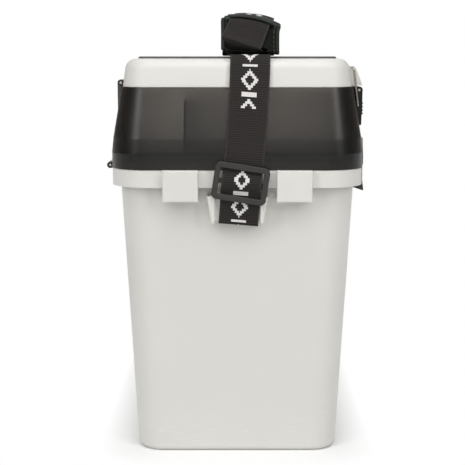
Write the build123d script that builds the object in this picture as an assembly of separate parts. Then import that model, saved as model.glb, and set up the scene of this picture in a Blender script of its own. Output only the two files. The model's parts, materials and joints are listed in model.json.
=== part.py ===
"""Ice fishing box: a tapered bucket, a smoked tray tier and a padded lid, with hinges, latches and strap.

X runs along the box, Y across it and Z up. The origin is on the floor under the middle of the bucket.
The hinges are at the back (+Y) and the latches at the front (-Y). The near end is at -X.
"""
from build123d import *
import os
from math import atan2, cos, pi, radians, sin, sqrt, tan

os.makedirs("parts", exist_ok=True)

# Bucket
RIM_LENGTH = 366.0
RIM_WIDTH = 245.0
RIM_CORNER = 38.0
RIM_DEPTH = 17.0
RIM_WALL = 2.6
RIM_OVERHANG = 8.25
BUCKET_HEIGHT = 289.0
BUCKET_DRAFT = 2.74
BUCKET_WALL = 2.6
BUCKET_FLOOR = 3.0
BASE_CORNER = 26.0
BASE_EDGE_RADIUS = 6.0
COLLAR_HEIGHT = 7.0
COLLAR_WALL = 2.2
COLLAR_CLEARANCE = 0.8

# Socket blocks and strap bridges on the bucket ends
SOCKET_SPACING = 108.5
SOCKET_WIDTH = 33.8
SOCKET_DEPTH = 30.0
SOCKET_REACH = 7.0
SOCKET_WALL = 2.4
BRIDGE_TOP_WIDTH = 58.0
BRIDGE_FOOT_WIDTH = 50.0
BRIDGE_OPENING = 44.0
BRIDGE_HEIGHT = 26.0
BRIDGE_DROP = 8.0
BRIDGE_BAR = 5.0
BRIDGE_BAR_EDGE = 1.7
BRIDGE_BAR_MARGIN = 2.0
BRIDGE_SLOT = 4.3
BRIDGE_POST_LIP = 3.2
BRIDGE_EDGE_RADIUS = 1.5

# Tray tier
TRAY_HEIGHT = 77.7
TRAY_WALL = 2.4
TRAY_FLOOR = 2.4
TRAY_OVERLAP = 0.3
TRAY_SKIRT_HEIGHT = 15.0
TRAY_SHOULDER_HEIGHT = 29.0
TRAY_SHOULDER_INSET = 1.6
TRAY_TOP_INSET = 10.2
TRAY_TOP_CORNER = 30.0
DIVIDER_OFFSET = 50.0
DIVIDER_WALL = 1.8
DIVIDER_HEIGHT = 48.0
DIVIDER_SPACING = 86.0
DIVIDER_COUNT = 3
DIVIDER_CLEARANCE = 0.3
DIVIDER_CORNER = 3.0
GUIDE_RIB = 2.4

# Lid and seat pad
LID_HEIGHT = 26.8
LID_WALL = 2.6
LID_INSET = 1.3
LID_SLOPE = 3.8
LID_EDGE_RADIUS = 11.0
LID_TONGUE = 4.0
LID_TONGUE_WALL = 2.0
LID_TONGUE_CLEARANCE = 0.8
SEAT_LENGTH = 310.0
SEAT_WIDTH = 193.6
SEAT_CORNER = 20.0
SEAT_THICKNESS = 5.0
SEAT_RECESS = 3.0
SEAT_CLEARANCE = 0.4

# Hinges
HARDWARE_INSET = 63.0
HINGE_SPACING = RIM_LENGTH - 2 * HARDWARE_INSET
HINGE_CENTRE_WIDTH = 14.0
HINGE_SIDE_WIDTH = 8.0
HINGE_GAP = 0.4
HINGE_PIN_RADIUS = 1.5
PIN_CLEARANCE = 0.04
PIN_END_CHAMFER = 0.35
LID_KNUCKLE_RADIUS = 3.2
LID_HINGE_RISE = 3.3
LID_HINGE_OUT = 1.8
LID_BRACKET_DROP = 30.0
TRAY_KNUCKLE_RADIUS = 3.2
TRAY_HINGE_RISE = 0.1
TRAY_HINGE_OUT = 3.85
TRAY_ARM_HEIGHT = 5.0
TRAY_WEB_DEPTH = 7.0

# Draw latches between lid and tray
LATCH_SPACING = RIM_LENGTH - 2 * HARDWARE_INSET
LATCH_WIDTH = 24.0
LATCH_CHEEK = 2.8
LATCH_GAP = 0.4
LATCH_PIVOT_OUT = 7.8
LATCH_PIVOT_DROP = 3.9
LATCH_BARREL_RADIUS = 3.4
LATCH_LEVER_LENGTH = 34.5
LATCH_PLATE = 3.0
LATCH_TAPER = 0.7
LATCH_EDGE_RADIUS = 0.8
LATCH_RIDGES = 4
LATCH_RIDGE_RADIUS = 0.8
LATCH_RIDGE_PITCH = 3.4
BAIL_WIRE_RADIUS = 1.1
BAIL_PIVOT_DROP = 15.4
BAIL_PIVOT_IN = 1.2
BAIL_LENGTH = 37.5
BAIL_LEAN = 5.1
BAIL_BEND = 3.0
BAIL_FOOT_BEND = 1.3
BAIL_CHEEK_MARGIN = 0.8
CATCH_FOOT_OUT = 3.4
CATCH_LIP = 0.35
CATCH_LIP_WALL = 1.5
CATCH_GROOVE_CLEARANCE = 0.4

# Flip latches between tray and bucket
FLIP_SPACING = RIM_LENGTH - 2 * HARDWARE_INSET
FLIP_WIDTH = 24.0
FLIP_EAR = 3.6
FLIP_EAR_TAPER = 0.8
FLIP_EAR_SLOPE = 2.0
FLIP_PIVOT_OUT = 0.2
FLIP_PIVOT_RISE = 10.3
FLIP_BARREL_RADIUS = 2.0
FLIP_PLATE = 2.2
FLIP_PIN_RADIUS = 1.0
FLIP_HOOK_GAP = 0.4
FLIP_HOOK_REACH = 7.7
FLIP_HOOK_DEPTH = 8.7
FLIP_HOOK_TIP = 4.8
FLIP_FLARE = 1.5
FLIP_FLARE_HEIGHT = 3.0
FLIP_EDGE_RADIUS = 0.8

# Strap, sliders and shoulder pad
STRAP_WIDTH = 38.0
STRAP_THICKNESS = 1.5
STRAP_GAP = 0.3
STRAP_LEAN = 4.5
STRAP_OFFSET = -3.0
STRAP_SEAM = 0.2
SLIDER_DROP = 12.0
SLIDER_LENGTH = 52.5
SLIDER_WIDTH = 36.0
SLIDER_BAR = 5.5
SLIDER_MIDDLE_BAR = 5.0
SLIDER_THICKNESS = 3.0
SLIDER_MIDDLE_THICKNESS = 1.4
SLIDER_TURN = 4.5
SLIDER_STANDOFF = 5.0
SLIDER_EDGE_RADIUS = 1.0
STRAP_WEAVE_BEND = 2.0
STRAP_EASY_BEND = 6.0
STRAP_WALL_BEND = 60.0
STRAP_LID_BEND = 12.0
SHOULDER_WIDTH = 56.0
SHOULDER_THICKNESS = 5.0
SHOULDER_RISE = 38.0
SHOULDER_FRONT = 10.5
SHOULDER_CREST = 33.0
SHOULDER_BACK = 90.0
SHOULDER_TAIL = 52.0
SHOULDER_FRONT_BEND = 10.0
SHOULDER_CREST_BEND = 30.0
SHOULDER_TAIL_BEND = 40.0
SHOULDER_TURN_IN = 15.75
SHOULDER_SLOT_HEIGHT = 16.4
SHOULDER_SLOT_CLEARANCE = 1.2
SHOULDER_SLOT_REACH = 1.0
SHOULDER_EDGE_RADIUS = 1.8

# Heights and outlines that follow from the sizes above
rim_bottom = BUCKET_HEIGHT - RIM_DEPTH
slider_height = BUCKET_HEIGHT - SLIDER_DROP
tray_top = BUCKET_HEIGHT + TRAY_HEIGHT
lid_top = tray_top + LID_HEIGHT
seat_top = lid_top - SEAT_RECESS + SEAT_THICKNESS
half_length = RIM_LENGTH / 2
half_width = RIM_WIDTH / 2
wall_length = RIM_LENGTH - 2 * RIM_OVERHANG
wall_width = RIM_WIDTH - 2 * RIM_OVERHANG
wall_corner = RIM_CORNER - RIM_OVERHANG
draft = tan(radians(BUCKET_DRAFT))
tray_length = RIM_LENGTH + 2 * TRAY_OVERLAP
tray_width = RIM_WIDTH + 2 * TRAY_OVERLAP
tray_top_length = tray_length - 2 * TRAY_TOP_INSET
tray_top_width = tray_width - 2 * TRAY_TOP_INSET
lid_length = tray_top_length - 2 * LID_INSET
lid_width = tray_top_width - 2 * LID_INSET
tray_slope = (TRAY_TOP_INSET - TRAY_SHOULDER_INSET) / (TRAY_HEIGHT - TRAY_SHOULDER_HEIGHT)
lid_slope = LID_SLOPE / LID_HEIGHT

# Hinge axes as (y, z)
lid_axis = (tray_top_width / 2 + LID_HINGE_OUT, tray_top + LID_HINGE_RISE)
tray_axis = (half_width + TRAY_HINGE_OUT, BUCKET_HEIGHT + TRAY_HINGE_RISE)
hinge_places = [-HINGE_SPACING / 2, HINGE_SPACING / 2]
hinge_length = HINGE_CENTRE_WIDTH + 2 * (HINGE_GAP + HINGE_SIDE_WIDTH)

# Latch axes as (y, z)
latch_axis = (-tray_top_width / 2 - LATCH_PIVOT_OUT, tray_top - LATCH_PIVOT_DROP)
bail_axis = (latch_axis[0] + BAIL_PIVOT_IN, latch_axis[1] - BAIL_PIVOT_DROP)
bail_bar = (bail_axis[0] + BAIL_LEAN, bail_axis[1] + BAIL_LENGTH)
bail_side = LATCH_WIDTH / 2 + LATCH_GAP + BAIL_WIRE_RADIUS
flip_axis = (-tray_width / 2 - FLIP_PIVOT_OUT, BUCKET_HEIGHT + FLIP_PIVOT_RISE)
latch_places = [-LATCH_SPACING / 2, LATCH_SPACING / 2]
flip_places = [-FLIP_SPACING / 2, FLIP_SPACING / 2]
flip_length = FLIP_WIDTH + 2 * (LATCH_GAP + FLIP_EAR)
ends = ["near", "far"]


def tray_half_width(height):
    """Half of the tray's outer width at a height above its shoulder."""
    above_shoulder = height - BUCKET_HEIGHT - TRAY_SHOULDER_HEIGHT
    return tray_width / 2 - TRAY_SHOULDER_INSET - above_shoulder * tray_slope


def lid_half_width(height):
    """Half of the lid's outer width at a height."""
    return lid_width / 2 - (height - tray_top) * lid_slope


def plate_at(length, width, corner, height):
    """Rounded rectangle lying at a height."""
    return Pos(0, 0, height) * RectangleRounded(length, width, corner)


def tapered(sections):
    """Straight-walled solid through a stack of rounded rectangles."""
    spans = [loft([low, high], ruled=True) for low, high in zip(sections, sections[1:])]
    solid = spans[0]
    for span in spans[1:]:
        solid += span
    return solid


def ring(length, width, corner, wall, low, high):
    """Upright band that follows a rounded rectangle, with its outer face on the outline."""
    outer = RectangleRounded(length, width, corner)
    inner = RectangleRounded(length - 2 * wall, width - 2 * wall, corner - wall)
    return Pos(0, 0, low) * extrude(outer - inner, high - low)


def profile(points, x_from, x_to):
    """Prism along X whose section is given as (y, z) points."""
    outline = make_face(Polyline(*[(x_from, y, z) for y, z in points], close=True))
    return extrude(outline, amount=x_to - x_from, dir=(1, 0, 0))


def rod(axis, radius, x_from, x_to):
    """Cylinder along X round an axis given as (y, z)."""
    middle = (x_from + x_to) / 2
    return Pos(middle, *axis) * Rot(0, 90, 0) * Cylinder(radius, abs(x_to - x_from))


def mirrored_ends(shape):
    """A shape at the near end and its mirror at the far end."""
    return [shape, mirror(shape, about=Plane.YZ)]


def offset_route(points, distance):
    """Route beside a route of (u, z) points, at a distance on its left hand."""
    headings = [atan2(b[1] - a[1], b[0] - a[0]) for a, b in zip(points, points[1:])]
    turns = [headings[0]] + headings + [headings[-1]]
    moved = []
    for (u, z), before, after in zip(points, turns, turns[1:]):
        half_turn = (after - before) / 2
        normal = before + half_turn + pi / 2
        reach = distance / cos(half_turn)
        moved.append((u + reach * cos(normal), z + reach * sin(normal)))
    return moved


def band(points, bends, section):
    """Flat band along a route of (u, z) points, where u is the distance out from the middle at -X."""
    path = FilletPolyline(*[(-u, 0, z) for u, z in points], radius=bends)
    start = Plane(origin=path @ 0, x_dir=(0, 1, 0), z_dir=path % 0)
    return sweep(start * section, path=path)


# Bucket
foot_inset = 2 * rim_bottom * draft
wall_foot = plate_at(wall_length - foot_inset, wall_width - foot_inset, BASE_CORNER, 0)
wall_head = plate_at(wall_length, wall_width, wall_corner, rim_bottom)
bucket_wall = loft([wall_foot, wall_head], ruled=True)
bucket_wall = fillet(bucket_wall.edges().group_by(Axis.Z)[0], BASE_EDGE_RADIUS)
bucket_wall += extrude(wall_head, RIM_DEPTH)

pocket_foot_inset = 2 * ((rim_bottom - BUCKET_FLOOR) * draft + BUCKET_WALL)
pocket_foot = plate_at(
    wall_length - pocket_foot_inset, wall_width - pocket_foot_inset, BASE_CORNER - BUCKET_WALL, BUCKET_FLOOR
)
pocket_head = plate_at(
    wall_length - 2 * BUCKET_WALL, wall_width - 2 * BUCKET_WALL, wall_corner - BUCKET_WALL, rim_bottom
)
bucket_pocket = loft([pocket_foot, pocket_head], ruled=True)
bucket_pocket = fillet(bucket_pocket.edges().group_by(Axis.Z)[0], BASE_EDGE_RADIUS - BUCKET_WALL)
bucket_pocket += extrude(pocket_head, RIM_DEPTH + COLLAR_HEIGHT)

rim = extrude(plate_at(RIM_LENGTH, RIM_WIDTH, RIM_CORNER, rim_bottom), RIM_DEPTH)
rim = fillet(rim.edges().group_by(Axis.Z)[-1], RIM_WALL / 2)
rim -= extrude(
    plate_at(RIM_LENGTH - 2 * RIM_WALL, RIM_WIDTH - 2 * RIM_WALL, RIM_CORNER - RIM_WALL, rim_bottom),
    RIM_DEPTH - RIM_WALL,
)
collar_inset = 2 * (TRAY_WALL + COLLAR_CLEARANCE)
collar = ring(
    tray_length - collar_inset,
    tray_width - collar_inset,
    RIM_CORNER - collar_inset / 2,
    COLLAR_WALL,
    BUCKET_HEIGHT - RIM_WALL / 2,
    BUCKET_HEIGHT + COLLAR_HEIGHT,
)

# Socket block: a moulded box against the end wall, open below
socket_low = BUCKET_HEIGHT - SOCKET_DEPTH
socket_outer = half_length + SOCKET_REACH
socket_inner = wall_length / 2 - SOCKET_DEPTH * draft
socket_block = Pos(-(socket_outer + socket_inner) / 2, 0, BUCKET_HEIGHT - SOCKET_DEPTH / 2) * Box(
    socket_outer - socket_inner, SOCKET_WIDTH, SOCKET_DEPTH
)
socket_block = fillet(socket_block.faces().sort_by(Axis.X)[0].edges(), SOCKET_WALL / 2)
socket_hollow_inner = wall_length / 2 + BUCKET_WALL / 2
socket_hollow_outer = socket_outer - SOCKET_WALL
socket_hollow_height = SOCKET_DEPTH - RIM_WALL
socket_hollow_middle = (socket_hollow_inner + socket_hollow_outer) / 2
socket_hollow = Pos(-socket_hollow_middle, 0, socket_low + socket_hollow_height / 2) * Box(
    socket_hollow_outer - socket_hollow_inner, SOCKET_WIDTH - 2 * SOCKET_WALL, socket_hollow_height
)

# Strap bridge: two flared posts with a bar between them, standing off the end wall
bridge_top = rim_bottom - BRIDGE_DROP
bridge_foot = bridge_top - BRIDGE_HEIGHT
bridge_wall = wall_length / 2 - (rim_bottom - bridge_top) * draft
bridge_bar_back = bridge_wall + BRIDGE_SLOT
bridge_bar_front = bridge_bar_back + BRIDGE_BAR
bridge_face = bridge_bar_front + BRIDGE_POST_LIP
bridge_root = bridge_wall - BRIDGE_HEIGHT * draft - BUCKET_WALL / 2
bridge = profile(
    [
        (BRIDGE_TOP_WIDTH / 2, bridge_top),
        (BRIDGE_FOOT_WIDTH / 2, bridge_foot),
        (-BRIDGE_FOOT_WIDTH / 2, bridge_foot),
        (-BRIDGE_TOP_WIDTH / 2, bridge_top),
    ],
    -bridge_face,
    -bridge_root,
)
bridge = fillet(bridge.faces().sort_by(Axis.X)[0].edges(), BRIDGE_EDGE_RADIUS)
bridge -= Pos(-(bridge_face + bridge_root) / 2, 0, (bridge_top + bridge_foot) / 2) * Box(
    bridge_face - bridge_root, BRIDGE_OPENING, BRIDGE_HEIGHT
)
bar_height = BRIDGE_HEIGHT - 2 * BRIDGE_BAR_MARGIN
bridge_bar = Pos(-(bridge_bar_front + bridge_bar_back) / 2, 0, (bridge_top + bridge_foot) / 2) * Box(
    BRIDGE_BAR, BRIDGE_OPENING, bar_height
)
bridge += fillet(bridge_bar.edges().filter_by(Axis.Y), BRIDGE_BAR_EDGE)

rim_back = half_width - RIM_WALL / 2
tray_pin_hole = HINGE_PIN_RADIUS + PIN_CLEARANCE


def bucket_knuckle(place):
    """Middle knuckle of a tray hinge, on a web from the bucket's rim."""
    x_from = place - HINGE_CENTRE_WIDTH / 2
    x_to = place + HINGE_CENTRE_WIDTH / 2
    web = profile(
        [
            (rim_back, BUCKET_HEIGHT - TRAY_WEB_DEPTH),
            (rim_back, BUCKET_HEIGHT - HINGE_GAP),
            (tray_axis[0], BUCKET_HEIGHT - HINGE_GAP),
            (tray_axis[0], tray_axis[1] - TRAY_KNUCKLE_RADIUS),
        ],
        x_from,
        x_to,
    )
    return web + rod(tray_axis, TRAY_KNUCKLE_RADIUS, x_from, x_to)


bucket = bucket_wall + rim + collar
for side in [-1, 1]:
    for block in mirrored_ends(Pos(0, side * SOCKET_SPACING / 2, 0) * socket_block):
        bucket += block
for end_bridge in mirrored_ends(bridge):
    bucket += end_bridge
for place in hinge_places:
    bucket += bucket_knuckle(place)
bucket -= bucket_pocket
for side in [-1, 1]:
    for hollow in mirrored_ends(Pos(0, side * SOCKET_SPACING / 2, 0) * socket_hollow):
        bucket -= hollow
for place in hinge_places:
    bucket -= rod(tray_axis, tray_pin_hole, place - hinge_length / 2, place + hinge_length / 2)

# Tray
shoulder_height = BUCKET_HEIGHT + TRAY_SHOULDER_HEIGHT
skirt_height = BUCKET_HEIGHT + TRAY_SKIRT_HEIGHT


def tray_section(inset, corner, wall, height):
    """Tray outline at a height, moved in by the draft there and by a wall."""
    step = 2 * (inset + wall)
    return plate_at(tray_length - step, tray_width - step, corner - wall, height)


shoulder_corner = RIM_CORNER - TRAY_SHOULDER_INSET
tray_outer = tapered(
    [
        tray_section(0, RIM_CORNER, 0, BUCKET_HEIGHT),
        tray_section(0, RIM_CORNER, 0, skirt_height),
        tray_section(TRAY_SHOULDER_INSET, shoulder_corner, 0, shoulder_height),
        tray_section(TRAY_TOP_INSET, TRAY_TOP_CORNER, 0, tray_top),
    ]
)
tray_floor_top = skirt_height + TRAY_FLOOR / 2
tray_pocket = tapered(
    [
        tray_section(TRAY_SHOULDER_INSET, shoulder_corner, TRAY_WALL, tray_floor_top),
        tray_section(TRAY_SHOULDER_INSET, shoulder_corner, TRAY_WALL, shoulder_height),
        tray_section(TRAY_TOP_INSET, TRAY_TOP_CORNER, TRAY_WALL, tray_top),
    ]
)
skirt_hollow = extrude(
    tray_section(0, RIM_CORNER, TRAY_WALL, BUCKET_HEIGHT), tray_floor_top - TRAY_FLOOR - BUCKET_HEIGHT
)


def tray_lid_bracket(place, side):
    """Outer knuckle of a lid hinge, on a gusset with an upright back face."""
    x_from = place + side * (HINGE_CENTRE_WIDTH / 2 + HINGE_GAP)
    x_to = x_from + side * HINGE_SIDE_WIDTH
    back = lid_axis[0] + LID_KNUCKLE_RADIUS
    low = lid_axis[1] - LID_BRACKET_DROP
    heel = LID_KNUCKLE_RADIUS / sqrt(2)
    gusset = profile(
        [
            (back, lid_axis[1]),
            (back, low),
            (tray_half_width(low) - TRAY_WALL / 2, low),
            (tray_top_width / 2 - TRAY_WALL / 2, tray_top - HINGE_GAP),
            (lid_axis[0] - heel, lid_axis[1] - heel),
        ],
        x_from,
        x_to,
    )
    return gusset + rod(lid_axis, LID_KNUCKLE_RADIUS, x_from, x_to)


def tray_arm(place, side):
    """Outer knuckle of a tray hinge, on an arm from the skirt."""
    x_from = place + side * (HINGE_CENTRE_WIDTH / 2 + HINGE_GAP)
    x_to = x_from + side * HINGE_SIDE_WIDTH
    skirt_back = tray_width / 2 - TRAY_WALL / 2
    arm = profile(
        [
            (skirt_back, BUCKET_HEIGHT + HINGE_GAP),
            (tray_width / 2 + HINGE_GAP, BUCKET_HEIGHT + HINGE_GAP),
            tray_axis,
            (tray_axis[0], tray_axis[1] + TRAY_KNUCKLE_RADIUS),
            (skirt_back, BUCKET_HEIGHT + TRAY_ARM_HEIGHT),
        ],
        x_from,
        x_to,
    )
    return arm + rod(tray_axis, TRAY_KNUCKLE_RADIUS, x_from, x_to)


latch_ear_half = LATCH_WIDTH / 2 - LATCH_CHEEK - LATCH_GAP


def latch_ear(place):
    """Block on the tray's front wall that carries a draw latch."""
    x_from = place - latch_ear_half
    x_to = place + latch_ear_half
    crown = latch_axis[1] + LATCH_BARREL_RADIUS
    foot = latch_axis[1] - LATCH_PIVOT_OUT
    block = profile(
        [
            (latch_axis[0], crown),
            (-tray_top_width / 2 + TRAY_WALL / 2, crown),
            (-tray_half_width(foot) + TRAY_WALL / 2, foot),
            (latch_axis[0], latch_axis[1] - LATCH_BARREL_RADIUS),
        ],
        x_from,
        x_to,
    )
    return block + rod(latch_axis, LATCH_BARREL_RADIUS, x_from, x_to)


def flip_ear(place, side):
    """One of the two ears on the tray skirt that carry a flip latch."""
    x_from = place + side * (FLIP_WIDTH / 2 + LATCH_GAP)
    x_to = x_from + side * FLIP_EAR
    wall_front = -tray_half_width(shoulder_height)
    root = wall_front + TRAY_WALL / 2
    reach = flip_axis[0] - FLIP_BARREL_RADIUS
    return profile(
        [
            (root, shoulder_height),
            (wall_front, shoulder_height),
            (reach + FLIP_EAR_TAPER, shoulder_height - FLIP_EAR_SLOPE),
            (reach, flip_axis[1]),
            (reach, BUCKET_HEIGHT + HINGE_GAP),
            (root, BUCKET_HEIGHT + HINGE_GAP),
        ],
        x_from,
        x_to,
    )


# Notch in the skirt for a flip latch, open below
notch_top = flip_axis[1] + FLIP_BARREL_RADIUS + LATCH_GAP
flip_notch = Pos(0, -tray_width / 2, (BUCKET_HEIGHT + notch_top) / 2) * Box(
    FLIP_WIDTH + 2 * LATCH_GAP, 2 * (TRAY_WALL + LATCH_GAP), notch_top - BUCKET_HEIGHT
)


# Long moulded partition and the pairs of ribs that hold the loose dividers
divider_low = tray_floor_top
divider_high = divider_low + DIVIDER_HEIGHT
divider_places = [(index - (DIVIDER_COUNT - 1) / 2) * DIVIDER_SPACING for index in range(DIVIDER_COUNT)]
partition = Pos(0, DIVIDER_OFFSET, (divider_low + divider_high) / 2) * Box(
    tray_length, DIVIDER_WALL, DIVIDER_HEIGHT
)
partition_front = DIVIDER_OFFSET - DIVIDER_WALL / 2
guide_step = DIVIDER_WALL / 2 + DIVIDER_CLEARANCE + GUIDE_RIB / 2
guides = []
for place in divider_places:
    for side in [-1, 1]:
        x_middle = place + side * guide_step
        on_partition = Pos(x_middle, partition_front - GUIDE_RIB / 2, (divider_low + divider_high) / 2)
        guides.append(on_partition * Box(GUIDE_RIB, GUIDE_RIB, DIVIDER_HEIGHT))
        guides.append(
            profile(
                [
                    (-tray_half_width(divider_low), divider_low),
                    (-tray_half_width(divider_high), divider_high),
                    (-tray_half_width(divider_high) + TRAY_WALL + GUIDE_RIB, divider_high),
                    (-tray_half_width(shoulder_height) + TRAY_WALL + GUIDE_RIB, shoulder_height),
                    (-tray_half_width(shoulder_height) + TRAY_WALL + GUIDE_RIB, divider_low),
                ],
                x_middle - GUIDE_RIB / 2,
                x_middle + GUIDE_RIB / 2,
            )
        )

tray = tray_outer
for place in hinge_places:
    for side in [-1, 1]:
        tray += tray_lid_bracket(place, side)
        tray += tray_arm(place, side)
for place in latch_places:
    tray += latch_ear(place)
for place in flip_places:
    for side in [-1, 1]:
        tray += flip_ear(place, side)
inner_walls = partition
for guide in guides:
    inner_walls += guide
tray -= tray_pocket
tray -= skirt_hollow
tray += inner_walls & tray_pocket
for place in hinge_places:
    x_from = place - hinge_length / 2
    x_to = place + hinge_length / 2
    tray -= rod(lid_axis, HINGE_PIN_RADIUS + PIN_CLEARANCE, x_from, x_to)
    tray -= rod(tray_axis, tray_pin_hole, x_from, x_to)
for place in latch_places:
    tray -= rod(latch_axis, HINGE_PIN_RADIUS + PIN_CLEARANCE, place - LATCH_WIDTH, place + LATCH_WIDTH)
for place in flip_places:
    tray -= Pos(place, 0, 0) * flip_notch
    x_from = place - flip_length / 2
    x_to = place + flip_length / 2
    tray -= rod(flip_axis, FLIP_PIN_RADIUS + PIN_CLEARANCE, x_from, x_to)

# Loose dividers, with a front edge that follows the tray wall
front_clear = TRAY_WALL + DIVIDER_CLEARANCE
shoulder_front = -tray_half_width(shoulder_height) + front_clear
divider_outline = [
    (shoulder_front, divider_low + DIVIDER_CLEARANCE),
    (shoulder_front, shoulder_height),
    (-tray_half_width(divider_high) + front_clear, divider_high),
    (partition_front - DIVIDER_CLEARANCE, divider_high),
    (partition_front - DIVIDER_CLEARANCE, divider_low + DIVIDER_CLEARANCE),
]
dividers = []
for place in divider_places:
    divider = profile(divider_outline, place - DIVIDER_WALL / 2, place + DIVIDER_WALL / 2)
    upper_corners = divider.edges().filter_by(Axis.X).group_by(Axis.Z)[-1]
    dividers.append(fillet(upper_corners, DIVIDER_CORNER))

# Lid
lid_corner = TRAY_TOP_CORNER - LID_INSET


def lid_section(inset, height):
    """Lid outline at a height, moved in by a distance from its foot."""
    return plate_at(lid_length - 2 * inset, lid_width - 2 * inset, lid_corner - inset, height)


lid_outer = loft([lid_section(0, tray_top), lid_section(LID_SLOPE, lid_top)], ruled=True)
lid_outer = fillet(lid_outer.edges().group_by(Axis.Z)[-1], LID_EDGE_RADIUS)
lid_ceiling = lid_top - SEAT_RECESS - LID_WALL
ceiling_inset = (lid_ceiling - tray_top) * lid_slope + LID_WALL
lid_pocket = loft([lid_section(LID_WALL, tray_top), lid_section(ceiling_inset, lid_ceiling)], ruled=True)
lid_pocket = fillet(lid_pocket.edges().group_by(Axis.Z)[-1], LID_EDGE_RADIUS - LID_WALL)
seat_recess = extrude(
    plate_at(
        SEAT_LENGTH + 2 * SEAT_CLEARANCE,
        SEAT_WIDTH + 2 * SEAT_CLEARANCE,
        SEAT_CORNER + SEAT_CLEARANCE,
        lid_top - SEAT_RECESS,
    ),
    SEAT_RECESS,
)
tongue_inset = 2 * (TRAY_WALL + LID_TONGUE_CLEARANCE)
lid_tongue = ring(
    tray_top_length - tongue_inset,
    tray_top_width - tongue_inset,
    TRAY_TOP_CORNER - tongue_inset / 2,
    LID_TONGUE_WALL,
    tray_top - LID_TONGUE,
    tray_top + LID_TONGUE,
)


def lid_knuckle(place):
    """Middle knuckle of a lid hinge, on a web from the lid's back wall."""
    x_from = place - HINGE_CENTRE_WIDTH / 2
    x_to = place + HINGE_CENTRE_WIDTH / 2
    web_top = lid_axis[1] + LID_KNUCKLE_RADIUS
    wall_back = lid_half_width(web_top) - LID_WALL / 2
    web = profile(
        [
            (wall_back, tray_top + HINGE_GAP),
            (lid_axis[0], tray_top + HINGE_GAP),
            (lid_axis[0], web_top),
            (wall_back, web_top),
        ],
        x_from,
        x_to,
    )
    return web + rod(lid_axis, LID_KNUCKLE_RADIUS, x_from, x_to)


# Catch on the lid's front wall, with a groove for the bail's cross bar behind a low lip
catch_half = bail_side - BAIL_WIRE_RADIUS - BAIL_BEND
groove_floor = bail_bar[1] - BAIL_WIRE_RADIUS - CATCH_GROOVE_CLEARANCE
groove_half = BAIL_WIRE_RADIUS + CATCH_GROOVE_CLEARANCE
lip_back = bail_bar[0] - groove_half
catch_low = tray_top + LATCH_GAP
catch_outline = [
    (-lid_half_width(catch_low) + LID_WALL / 2, catch_low),
    (latch_axis[0] - CATCH_FOOT_OUT, catch_low),
    (lip_back - CATCH_LIP_WALL, groove_floor + CATCH_LIP),
    (lip_back, groove_floor + CATCH_LIP),
    (lip_back, groove_floor),
    (bail_bar[0] + groove_half, groove_floor),
    (bail_bar[0] + 2 * groove_half, groove_floor + 2 * groove_half),
    (-lid_half_width(groove_floor) + LID_WALL / 2, groove_floor + 2 * groove_half),
]

lid = lid_outer
for place in hinge_places:
    lid += lid_knuckle(place)
for place in latch_places:
    lid += profile(catch_outline, place - catch_half, place + catch_half)
lid -= lid_pocket
lid -= seat_recess
lid += lid_tongue
for place in hinge_places:
    x_from = place - hinge_length / 2
    x_to = place + hinge_length / 2
    lid -= rod(lid_axis, HINGE_PIN_RADIUS + PIN_CLEARANCE, x_from, x_to)

# Seat pad, with a soft upper edge
seat_pad = extrude(plate_at(SEAT_LENGTH, SEAT_WIDTH, SEAT_CORNER, lid_top - SEAT_RECESS), SEAT_THICKNESS)
seat_pad = fillet(seat_pad.edges().group_by(Axis.Z)[-1], SEAT_THICKNESS - SEAT_RECESS)


def pin(axis, radius, place, length):
    """Plain pin with chamfered ends."""
    bare = rod(axis, radius, place - length / 2, place + length / 2)
    return chamfer(bare.edges().filter_by(GeomType.CIRCLE), PIN_END_CHAMFER)


# Draw latch lever: two cheeks and a finger plate with ridges across it
plate_out = latch_axis[0] - LATCH_BARREL_RADIUS + LATCH_GAP / 2
plate_in = plate_out + LATCH_PLATE
lever_foot = latch_axis[1] - LATCH_LEVER_LENGTH
cheek_foot = bail_axis[1] - BAIL_PIVOT_DROP / 2
cheek_in = bail_axis[0] + BAIL_WIRE_RADIUS + BAIL_CHEEK_MARGIN


def latch_lever(place):
    """Lever of a draw latch."""
    plate_top = latch_axis[1] - LATCH_BARREL_RADIUS - LATCH_GAP * 2
    lever = profile(
        [
            (plate_out, plate_top),
            (plate_out + LATCH_TAPER, lever_foot),
            (plate_in + LATCH_TAPER, lever_foot),
            (plate_in, plate_top),
        ],
        place - LATCH_WIDTH / 2,
        place + LATCH_WIDTH / 2,
    )
    lever = fillet(lever.edges().filter_by(Axis.X).group_by(Axis.Z)[0], LATCH_EDGE_RADIUS)
    for side in [-1, 1]:
        x_from = place + side * (LATCH_WIDTH / 2 - LATCH_CHEEK)
        x_to = place + side * LATCH_WIDTH / 2
        lever += profile(
            [
                (latch_axis[0] + LATCH_BARREL_RADIUS, latch_axis[1]),
                (latch_axis[0] - LATCH_BARREL_RADIUS + LATCH_GAP / 2, latch_axis[1]),
                (plate_out, cheek_foot),
                (plate_in, cheek_foot),
                (cheek_in, bail_axis[1]),
            ],
            x_from,
            x_to,
        )
        lever += rod(latch_axis, LATCH_BARREL_RADIUS, x_from, x_to)
    for index in range(LATCH_RIDGES):
        ridge_axis = (plate_out, cheek_foot + index * LATCH_RIDGE_PITCH)
        lever += rod(ridge_axis, LATCH_RIDGE_RADIUS, place - LATCH_WIDTH / 2, place + LATCH_WIDTH / 2)
    reach = LATCH_WIDTH / 2 + LATCH_GAP
    lever -= rod(latch_axis, HINGE_PIN_RADIUS + PIN_CLEARANCE, place - reach, place + reach)
    for side in [-1, 1]:
        x_from = place + side * (LATCH_WIDTH / 2 - LATCH_CHEEK - LATCH_GAP)
        lever -= rod(bail_axis, BAIL_WIRE_RADIUS + PIN_CLEARANCE, x_from, place + side * reach)
    return lever


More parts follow.
